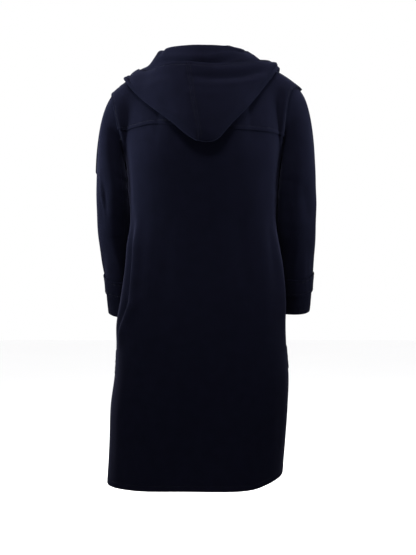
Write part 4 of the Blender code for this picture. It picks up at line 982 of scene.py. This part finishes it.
def build_pocket(word, near, far):
    """A patch pocket and its flap."""
    wide = near * BODY_WIDTH + lines((far - near) * BODY_WIDTH, FINE)
    sideways = (wide - wide[0]) / (wide[-1] - wide[0]) * 2.0 - 1.0
    bottom, top = climb_of(POCKET_BOTTOM), climb_of(POCKET_TOP)
    low, high = climb_of(FLAP_BOTTOM), climb_of(FLAP_TOP)

    def fullness(tall):
        climb = np.clip((tall - bottom) / (top - bottom), 0.0, 1.0)[:, None]
        return POCKET_FULLNESS * (1.0 - sideways ** 4) * (1.0 - (1.0 - climb) ** 3)

    def sew_on(kind, tall, lift, stitches):
        sheet = Sheet(-1, wide[None, :] / BODY_WIDTH, tall[:, None] / BODY_LOW * UNDERARM_UP)
        middle = sheet.lifted(LAYER + lift + CLOTH / 2)
        Shell("wool", kind + "_" + word, wide, tall, middle, sheet.out, stitches)

    tall = bottom + lines(top - bottom, FINE, high=CUFF)
    sew_on("pocket", tall, fullness(tall), (
        ("low", STITCH_IN, 0.03, 0.97), ("left", STITCH_IN, 0.03, 1.0), ("right", STITCH_IN, 0.03, 1.0),
        ("high", CUFF_STITCH, 0.0, 1.0)))
    tall = low + lines(high - low, FINE)
    past = tall[:, None] - top
    clear = LAYER * (1.0 - ease((past - 0.002) / (high - top - 0.004)))
    sew_on("flap", tall, clear + fullness(tall) * (1.0 - ease(past / (high - top))), (
        ("low", STITCH_IN, 0.06, 0.94), ("left", STITCH_IN, 0.10, 1.0), ("right", STITCH_IN, 0.10, 1.0),
        ("high", STITCH_IN, 0.0, 1.0)))


build_pocket("left", POCKET_NEAR, POCKET_FAR)
build_pocket("right", 1.0 - POCKET_FAR, 1.0 - POCKET_NEAR)


# ---------------- laying pieces on the body

def cover_of(layers):
    """The outside of the body's layers, for finding the nearest place on it."""
    points = []
    faces = []
    for sheet, lift in layers:
        grid = sheet.lifted(lift + CLOTH)[:, ::1 if sheet.side > 0 else -1]
        rows, columns = grid.shape[:2]
        faces += quads(len(points) + np.arange(rows * columns).reshape(rows, columns))
        points += [Vector(point) for point in grid.reshape(-1, 3)]
    return BVHTree.FromPolygons(points, faces)


cover = cover_of(layers)


def push(grid, clearance):
    """The moves that take a grid's points over the body clear of it; its first row stays."""
    moves = np.zeros(grid.shape)
    for place in np.ndindex(grid.shape[:2]):
        point = Vector(grid[place])
        nearest, out, _, _ = cover.find_nearest(point, COVER_REACH)
        if nearest is None or place[0] == 0:
            continue
        offset = point - nearest
        height = offset.dot(out)
        if height < clearance[place] and (offset - out * height).length < EDGE_REACH:
            moves[place] = np.array(out) * (clearance[place] - height)
    return moves


def blur(values, closed):
    """Averages each point's value with its neighbours'."""
    padded = np.concatenate([values[:1], values, values[-1:]])
    values = 0.25 * padded[:-2] + 0.5 * values + 0.25 * padded[2:]
    ends = (values[:, -2:-1], values[:, 1:2]) if closed else (values[:, :1], values[:, -1:])
    padded = np.concatenate([ends[0], values, ends[1]], axis=1)
    return 0.25 * padded[:, :-2] + 0.5 * values + 0.25 * padded[:, 2:]


def lay_clear(grid, clearance, closed=False):
    """Moves a grid's points clear of the body in soft steps; its first row stays."""
    clearance = np.broadcast_to(clearance, grid.shape[:2])
    moved = grid + push(grid, clearance)
    for _ in range(3):
        soft = change = moved - grid
        for _ in range(4):
            soft = blur(soft, closed)
        soft[0] = 0.0
        moved = grid + np.where(np.linalg.norm(soft, axis=-1, keepdims=True) > 0.0, soft, change)
        moved = moved + push(moved, clearance)
    return moved


# ---------------- turned forms, tubes and cords

def lofted(start, rings, end):
    """Points and faces of a closed form: two end points and rings of points between them."""
    sides = len(rings[0])
    points = np.concatenate([[start], *rings, [end]])
    last = len(points) - 1
    faces = []
    for turn in range(sides):
        near, after = 1 + turn, 1 + (turn + 1) % sides
        faces.append((0, after, near))
        for first in range(0, (len(rings) - 1) * sides, sides):
            faces.append((first + near, first + after, first + sides + after, first + sides + near))
        faces.append((last, last - sides - 1 + near, last - sides - 1 + after))
    return points, faces


def circle(sides):
    turns = np.linspace(0.0, 2.0 * math.pi, sides, endpoint=False)
    return np.cos(turns)[:, None], np.sin(turns)[:, None]


def lathe(profile, sides):
    """A turned form; the profile's pairs are radius and height, from one end to the other."""
    cosine, sine = circle(sides)
    rings = [radius * (cosine * (1.0, 0.0, 0.0) + sine * (0.0, 1.0, 0.0)) + (0.0, 0.0, height)
             for radius, height in profile[1:-1]]
    return lofted((0.0, 0.0, profile[0][1]), rings, (0.0, 0.0, profile[-1][1]))


def frames_along(route):
    """The direction at each of a route's points, with two directions across it that turn little."""
    found = []
    side = None
    for direction in unit(np.gradient(route, axis=0)):
        side = unit(np.cross(direction, (0.3, 0.5, 0.81))) if side is None else side
        side = unit(side - direction * np.dot(side, direction))
        found.append((direction, side, np.cross(direction, side)))
    return found


def tube(route, radius, sides=6):
    """A closed tube along a route."""
    cosine, sine = circle(sides)
    frames = frames_along(route)
    rings = [place + radius * (cosine * side + sine * other)
             for place, (_, side, other) in zip(route, frames)]
    return lofted(route[0] - frames[0][0] * radius * 0.6, rings, route[-1] + frames[-1][0] * radius * 0.6)


def twisted(route, radius):
    """Three strands that wind round a route."""
    reach = reach_along(route)
    places = np.linspace(0.0, reach[-1], max(int(reach[-1] / ROUTE_STEP), 8))
    route = read_at(places, reach, np.array(route))
    for _ in range(6):
        route[1:-1] = 0.25 * route[:-2] + 0.5 * route[1:-1] + 0.25 * route[2:]
    frames = frames_along(route)
    bodies = []
    for strand in range(3):
        turn = 2.0 * math.pi * (reach_along(route) * TWISTS + strand / 3.0)
        offset = np.stack([math.cos(angle) * side + math.sin(angle) * other
                           for angle, (_, side, other) in zip(turn, frames)])
        bodies.append(tube(route + offset * radius * STRAND_OUT, radius * STRAND_RADIUS))
    return bodies


def joined(name, bodies, material):
    points = []
    faces = []
    for body_points, body_faces in bodies:
        faces += [tuple(len(points) + corner for corner in face) for face in body_faces]
        points += list(body_points)
    return mesh_object(name, points, faces, material)


# ---------------- sleeves

def sleeve_creases(hand, around, along):
    total = creases([row[1:] for row in LINES if row[0] == hand], around, along)
    for row in BENDS:
        if row[0] == hand:
            total = total + crease(along, around, *row[1:])
    return (total + swells(around, 0.5 * along, hand, closed=True)) * ease(along / SLEEVE_FADE)


def interpolate(grid, old_rows, old_columns, rows, columns):
    """A grid's values at new places between its rows and columns."""
    for old, new in ((old_rows, rows), (old_columns, columns)):
        place = np.clip(np.searchsorted(old, new, side="right") - 1, 0, len(old) - 2)
        share = ((new - old[place]) / (old[place + 1] - old[place]))[:, None, None]
        grid = (grid[place] * (1.0 - share) + grid[place + 1] * share).swapaxes(0, 1)
    return grid


def build_sleeve(hand, word, front, edge):
    behind, before = (0.5 * (panel.up[UNDERARM_AT:, edge] - UNDERARM_UP) / (1.0 - UNDERARM_UP)
                      for panel in (back, front))
    around = np.concatenate([behind[:-1], [0.5], 1.0 - before[:-1][::-1]])
    lengths = lines(SLEEVE_LENGTH, low=JOIN, high=CUFF)
    along = lengths[:, None] / SLEEVE_LENGTH
    surface, out = sleeve_surface(hand, around[None, :], along)
    surface = surface + out * sleeve_creases(hand, around[None, :], along)[..., None]
    surface = lay_clear(surface, SLEEVE_TUCK, closed=True)
    surface[:, -1] = surface[:, 0]
    out = ring_normals(surface, out)
    points, edge_out, into = armhole(hand, around % 1.0)
    surface = np.concatenate([[points - into * reach - edge_out * UNDER_TUCK for reach in TUCK], surface])
    out = np.concatenate([[edge_out] * len(TUCK), out])
    out[len(TUCK)] = unit(out[len(TUCK)] + edge_out)
    tall = np.concatenate([-np.array(TUCK), lengths])
    middle = surface - out * (CLOTH / 2)
    last = len(around) - 1
    wide = around * SLEEVE_AROUND
    upper = list(range(SEAM_AFTER, last - SEAM_AFTER + 1))
    under = list(range(last - SEAM_AFTER, last)) + list(range(SEAM_AFTER + 1))
    under_wide = wide[under] - np.where(np.arange(len(under)) < SEAM_AFTER, SLEEVE_AROUND, 0.0)
    for kind, columns, cut in (("upper", upper, wide[upper]), ("under", under, under_wide)):
        Shell("wool", "sleeve_%s_%s" % (kind, word), cut, tall, middle[:, columns], out[:, columns],
              (("high", CUFF_STITCH, 0.0, 1.0),))
    build_strap(word, yoke_up(-1, front.across[0:1, edge])[0], surface, out, tall, around)


def build_strap(word, yoke, surface, out, tall, around):
    """The strap round a cuff, with its button."""
    heights = SLEEVES[1].rows[:, 0]
    high, low = ((1.0 - height * (1.0 - HEAD_SHARE) / (heights[-1] - heights[0])) * SLEEVE_LENGTH
                 for height in (STRAP_HIGH, STRAP_LOW))
    start = around[SEAM_AFTER]
    end = 1.0 - 0.5 * (yoke + (1.0 - yoke) * STRAP_END_SHARE - UNDERARM_UP) / (1.0 - UNDERARM_UP)
    rows = high + lines(low - high, FINE)
    columns = start + lines((end - start) * SLEEVE_AROUND, FINE) / SLEEVE_AROUND
    base = interpolate(surface, tall, around, rows, columns)
    away = unit(interpolate(out, tall, around, rows, columns))
    middle = base + away * (GAP + CLOTH / 2)
    Shell("wool", "cuff_strap_" + word, columns * SLEEVE_AROUND, rows, middle, away, (
        ("low", STITCH_IN, 0.0, 1.0), ("high", STITCH_IN, 0.0, 1.0), ("right", STITCH_IN, 0.15, 0.85)))
    centre = np.mean(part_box("cuff_button_" + word), axis=0)
    nearest = np.unravel_index(np.argmin(np.linalg.norm(base - centre, axis=-1)), base.shape[:2])
    build_button("cuff_button_" + word, centre, away[nearest])


def build_button(node, centre, direction):
    """A round button with a raised rim and thread through its four holes."""
    half = 0.5 * BUTTON_THICKNESS
    outline = ((0.0, -1.0), (0.60, -1.0), (0.85, -0.8), (0.97, -0.3), (1.0, 0.2), (0.97, 0.75), (0.88, 1.0),
               (0.76, 0.92), (0.66, 0.50), (0.50, 0.38), (0.0, 0.36))
    points, faces = lathe([(radius * BUTTON_RADIUS, height * half) for radius, height in outline], 36)
    turned = np.array(Vector(direction).to_track_quat("Z", "Y").to_matrix()).T
    place_piece(mesh_object("horn_" + node, centre + points @ turned, faces, HORN), "horn", node)
    threads = []
    for across in (-BUTTON_HOLE, BUTTON_HOLE):
        for twin in (-THREAD_TWIN, THREAD_TWIN):
            line = [(along * BUTTON_HOLE, across + twin, rise * half)
                    for along, rise in ((-1.0, 0.40), (0.0, 0.62), (1.0, 0.40))]
            threads.append(tube(centre + np.array(line) @ turned, BUTTON_THREAD))
    place_piece(joined("thread_" + node, threads, THREAD), "wool")


build_sleeve(1, "left", left, 0)
build_sleeve(-1, "right", right, -1)


# ---------------- hood

def hood_creases(grid, along):
    """How far the outer layer is moved by its creases, from the distance to the rim."""
    steps = np.linalg.norm(np.diff(grid, axis=0), axis=-1)
    from_rim = np.concatenate([np.cumsum(steps[::-1], axis=0)[::-1], np.zeros((1, grid.shape[1]))])
    total = swells(0.25 * along, 1.2 * from_rim)
    for row in HOOD_CREASES:
        total = total + crease(from_rim, along, *row, power=0.5)
    return total


def roll_creases(along, through):
    """How far the cloth behind the neck is moved by its creases."""
    total = 0.0
    for first, last, place, slope, width, depth in ROLL_CREASES:
        total = total + crease(through, along, place, slope, first, last, width, depth, power=0.5)
    for place, low, high, width, depth in NOTCHES:
        total = total + crease(along, through, place, 0.0, low, high, width, depth)
    return total


def outward_normals(grid, seam):
    """The directions out of the hood's cloth, which face backward on its outer layer at the centre seam."""
    out = normals_of(grid)
    return out * np.sign(out[-3, seam, 1])


def build_hood():
    half = lines(HOOD_HALF_LENGTH, low=CENTRE)
    seam = len(half) - 1
    wide = np.concatenate([-half[:0:-1], half])
    along = wide / HOOD_HALF_LENGTH
    deep = lines(HOOD_DEPTH, HOOD_SPACING, low=JOIN, high=RIM)
    through = deep / HOOD_DEPTH
    edge, neck_out, past = neck_edge(along)
    start = edge + neck_out * (NECK_SEAM + CLOTH * 0.5)
    middle = np.stack([hood_middle(along, start, value) for value in through])
    turned = ease((through - HOOD_PLACES[3]) / (HOOD_PLACES[5] - HOOD_PLACES[3]))
    middle = lay_clear(middle, HOOD_TUCK + 1.9 * turned[:, None] * fold_radius(along)[None, :])
    rough = outward_normals(middle, seam)
    outer = ease((through - HOOD_PLACES[5]) / 0.05)[:, None]
    middle = middle + rough * (hood_creases(middle, along[None, :]) * outer)[..., None]
    middle = middle - rough * roll_creases(along[None, :], through[:, None])[..., None]
    out = outward_normals(middle, seam)
    middle = np.concatenate([[start - past * reach for reach in TUCK], middle])
    out = np.concatenate([[neck_out] * len(TUCK), out])
    out[len(TUCK)] = neck_out
    tall = np.concatenate([-np.array(TUCK), deep])
    for word, columns, centre, end in (("right", slice(0, seam + 1), "right", "left"),
                                       ("left", slice(seam, None), "left", "right")):
        stitches = ((centre, CENTRE_STITCH, 0.02, 0.985), ("high", RIM_STITCH, 0.0, 1.0),
                    (end, STITCH_IN, 0.05, 1.0))
        Shell("wool", "hood_" + word, wide[columns], tall, middle[:, columns], out[:, columns],
              stitches, butted=centre)


build_hood()


# ---------------- fastenings

def build_patch(node, height, hand):
    """A thin leather piece with round corners, sewn on beside a toggle."""
    wide = lines(PATCH_WIDTH, PATCH_SPACING, PATCH_EDGE, PATCH_EDGE)
    tall = lines(PATCH_TALL, PATCH_SPACING, PATCH_EDGE, PATCH_EDGE)
    across = (wide / PATCH_WIDTH * 2.0 - 1.0)[None, :]
    up = (tall / PATCH_TALL * 2.0 - 1.0)[:, None]
    round_across = across * np.sqrt(1.0 - PATCH_ROUND * up ** 2)
    round_up = up * np.sqrt(1.0 - PATCH_ROUND * across ** 2)
    sheet = Sheet(-1, *front_share(hand * PATCH_OUT - 0.5 * PATCH_WIDTH * round_across,
                                   height + 0.5 * PATCH_TALL * round_up))
    lift = LAYER + PATCH_GAP + (front_lift(sheet.across) if hand > 0 else 0.0) + 0.5 * PATCH_THICKNESS
    Shell("leather", node, wide, tall, sheet.lifted(lift), sheet.out,
          [(edge, PATCH_STITCH, 0.08, 0.92) for edge in ("low", "high", "left", "right")],
          thickness=PATCH_THICKNESS, material=LEATHER, pucker=0.0)


def build_toggle(node, centre, turned):
    """A turned horn bar with a waist."""
    keys = np.array(TOGGLE_OUTLINE)
    keys = np.concatenate([keys, (keys * (-1.0, 1.0))[-2::-1]])
    ends = (-1.0, -0.996, -0.985, -0.97)
    places = np.concatenate([ends, np.linspace(-0.94, 0.94, 48), -np.array(ends)[::-1]])
    radii = np.interp(places, keys[:, 0], keys[:, 1])
    for _ in range(3):
        radii[1:-1] = 0.25 * radii[:-2] + 0.5 * radii[1:-1] + 0.25 * radii[2:]
    points, faces = lathe(np.stack([radii * TOGGLE_RADIUS, places * TOGGLE_LENGTH / 2.0], axis=-1), 28)
    place_piece(mesh_object("horn_" + node, centre + points @ turned.T, faces, HORN), "horn", node)


def build_fastening(number, height):
    """Two patches, the loop and the holder sewn under them, and the toggle on its holder."""
    build_patch("patch_left_%d" % number, height, 1)
    build_patch("patch_right_%d" % number, height, -1)
    place = front_share(np.zeros(1), height)
    out = body_normal(-1, *place)[0]
    across = -unit(body_slopes(-1, *place)[0])[0]
    up = np.cross(across, out)
    point = body_point(-1, *place)[0] + out * (2.0 * LAYER + PATCH_GAP + LOOP_RISE + CORD_RADIUS + GAP)
    near = PATCH_OUT - 0.5 * PATCH_WIDTH - 0.002
    turns = np.radians(np.linspace(90.0, 270.0, 15))
    bend = [(LOOP_END + LOOP_HALF_WIDTH * (1.0 + math.cos(turn)), LOOP_HALF_WIDTH * math.sin(turn))
            for turn in turns]
    route = [point + across * sideways + up * rise
             for sideways, rise in ((near, LOOP_HALF_WIDTH), *bend, (near, -LOOP_HALF_WIDTH))]
    loop = joined("cord_loop_%d" % number, twisted(route, CORD_RADIUS), CORD)
    place_piece(loop, "cord", "loop_%d" % number)
    rise = 2.0 * CORD_RADIUS + GAP
    centre = point + out * (rise + CORD_RADIUS + GAP + TOGGLE_RADIUS)
    turned = np.stack([out, np.cross(across, out), across], axis=1)
    build_toggle("toggle_%d" % number, centre, turned)
    route = [point - across * sideways + out * lift
             for sideways, lift in ((near, 0.0), (near - 0.012, 0.0012), (0.026, rise), (0.006, rise))]
    wind = np.linspace(0.0, 4.0 * math.pi, 60)
    ring = TOGGLE_RADIUS * TOGGLE_OUTLINE[-1][1] + 0.0006
    coil = np.stack([ring * np.cos(wind), ring * np.sin(wind), (wind / wind[-1] - 0.5) * 0.0026], axis=-1)
    bodies = twisted(route, CORD_RADIUS) + [tube(centre + coil @ turned.T, TWIST_RADIUS)]
    place_piece(joined("cord_holder_%d" % number, bodies, CORD), "cord", "holder_%d" % number)


for number, height in enumerate(TOGGLE_HEIGHTS, start=1):
    build_fastening(number, height)


# ---------------- stage, lights and camera

FLOOR_HEIGHT = -1.45
FLOOR_REACH = 9.0
FLOOR_COLOUR = (0.96, 0.96, 0.965)
FLOOR_CORNERS = ((-1.0, -1.0), (1.0, -1.0), (1.0, 1.0), (-1.0, 1.0))
floor_tones = ((0.0, tuple(0.98 * value for value in FLOOR_COLOUR)), (1.0, FLOOR_COLOUR))
pale = make_material("pale_floor", ((1.2,),), floor_tones, Roughness=0.9, Specular_IOR_Level=0.2)
floor_points = [(x * FLOOR_REACH, y * FLOOR_REACH, FLOOR_HEIGHT) for x, y in FLOOR_CORNERS]
floor = mesh_object("studio_floor", floor_points, [(0, 1, 2, 3)], pale)

scene = bpy.context.scene
world = bpy.data.worlds.new("studio")
world.use_nodes = True
sky = world.node_tree.nodes["Background"]
sky.inputs["Color"].default_value = (1.0, 1.0, 1.0, 1.0)
sky.inputs["Strength"].default_value = 1.0
scene.world = world
scene.view_settings.view_transform = "Standard"


def area_light(name, place, target, size, energy, colour=(1.0, 1.0, 1.0), spread=180.0):
    light = bpy.data.lights.new(name, "AREA")
    light.shape = "DISK"
    light.size = size
    light.energy = energy
    light.color = colour
    light.spread = math.radians(spread)
    item = bpy.data.objects.new(name, light)
    item.location = place
    item.rotation_euler = (Vector(target) - Vector(place)).to_track_quat("-Z", "Y").to_euler()
    scene.collection.objects.link(item)


area_light("key", (0.3, 1.3, 1.45), (0.0, 0.0, 0.0), 0.8, 14.0, spread=50.0)
area_light("top", (0.1, 0.30, 1.55), (0.0, 0.0, 0.0), 0.7, 74.0)
area_light("side_left", (2.2, 1.1, 0.6), (0.0, 0.0, -0.3), 1.4, 9.0)
area_light("side_right", (-2.2, 1.1, 0.6), (0.0, 0.0, -0.3), 1.4, 12.0)
area_light("arm_left", (1.7, 0.05, -0.18), (0.28, 0.0, -0.18), 0.5, 12.0, (0.85, 0.95, 1.0), 36.0)
area_light("arm_right", (-1.7, 0.10, -0.15), (-0.28, 0.0, -0.15), 0.6, 10.0, (0.88, 0.95, 1.0), 40.0)
area_light("front", (0.9, -2.2, 1.5), (0.0, 0.0, -0.35), 1.6, 90.0)

CAMERA_PLACE = (-0.0026, 3.1, -0.445)
CAMERA_DOWN = 1.774
PHOTO_HEIGHT = 555.0
FOCAL_PIXELS = 1211.0
camera_data = bpy.data.cameras.new("camera")
camera_data.sensor_width = 36.0
camera_data.lens = FOCAL_PIXELS / PHOTO_HEIGHT * camera_data.sensor_width
camera = bpy.data.objects.new("camera", camera_data)
camera.location = CAMERA_PLACE
camera.rotation_euler = (math.radians(90.0 - CAMERA_DOWN), 0.0, math.pi)
scene.collection.objects.link(camera)
scene.camera = camera
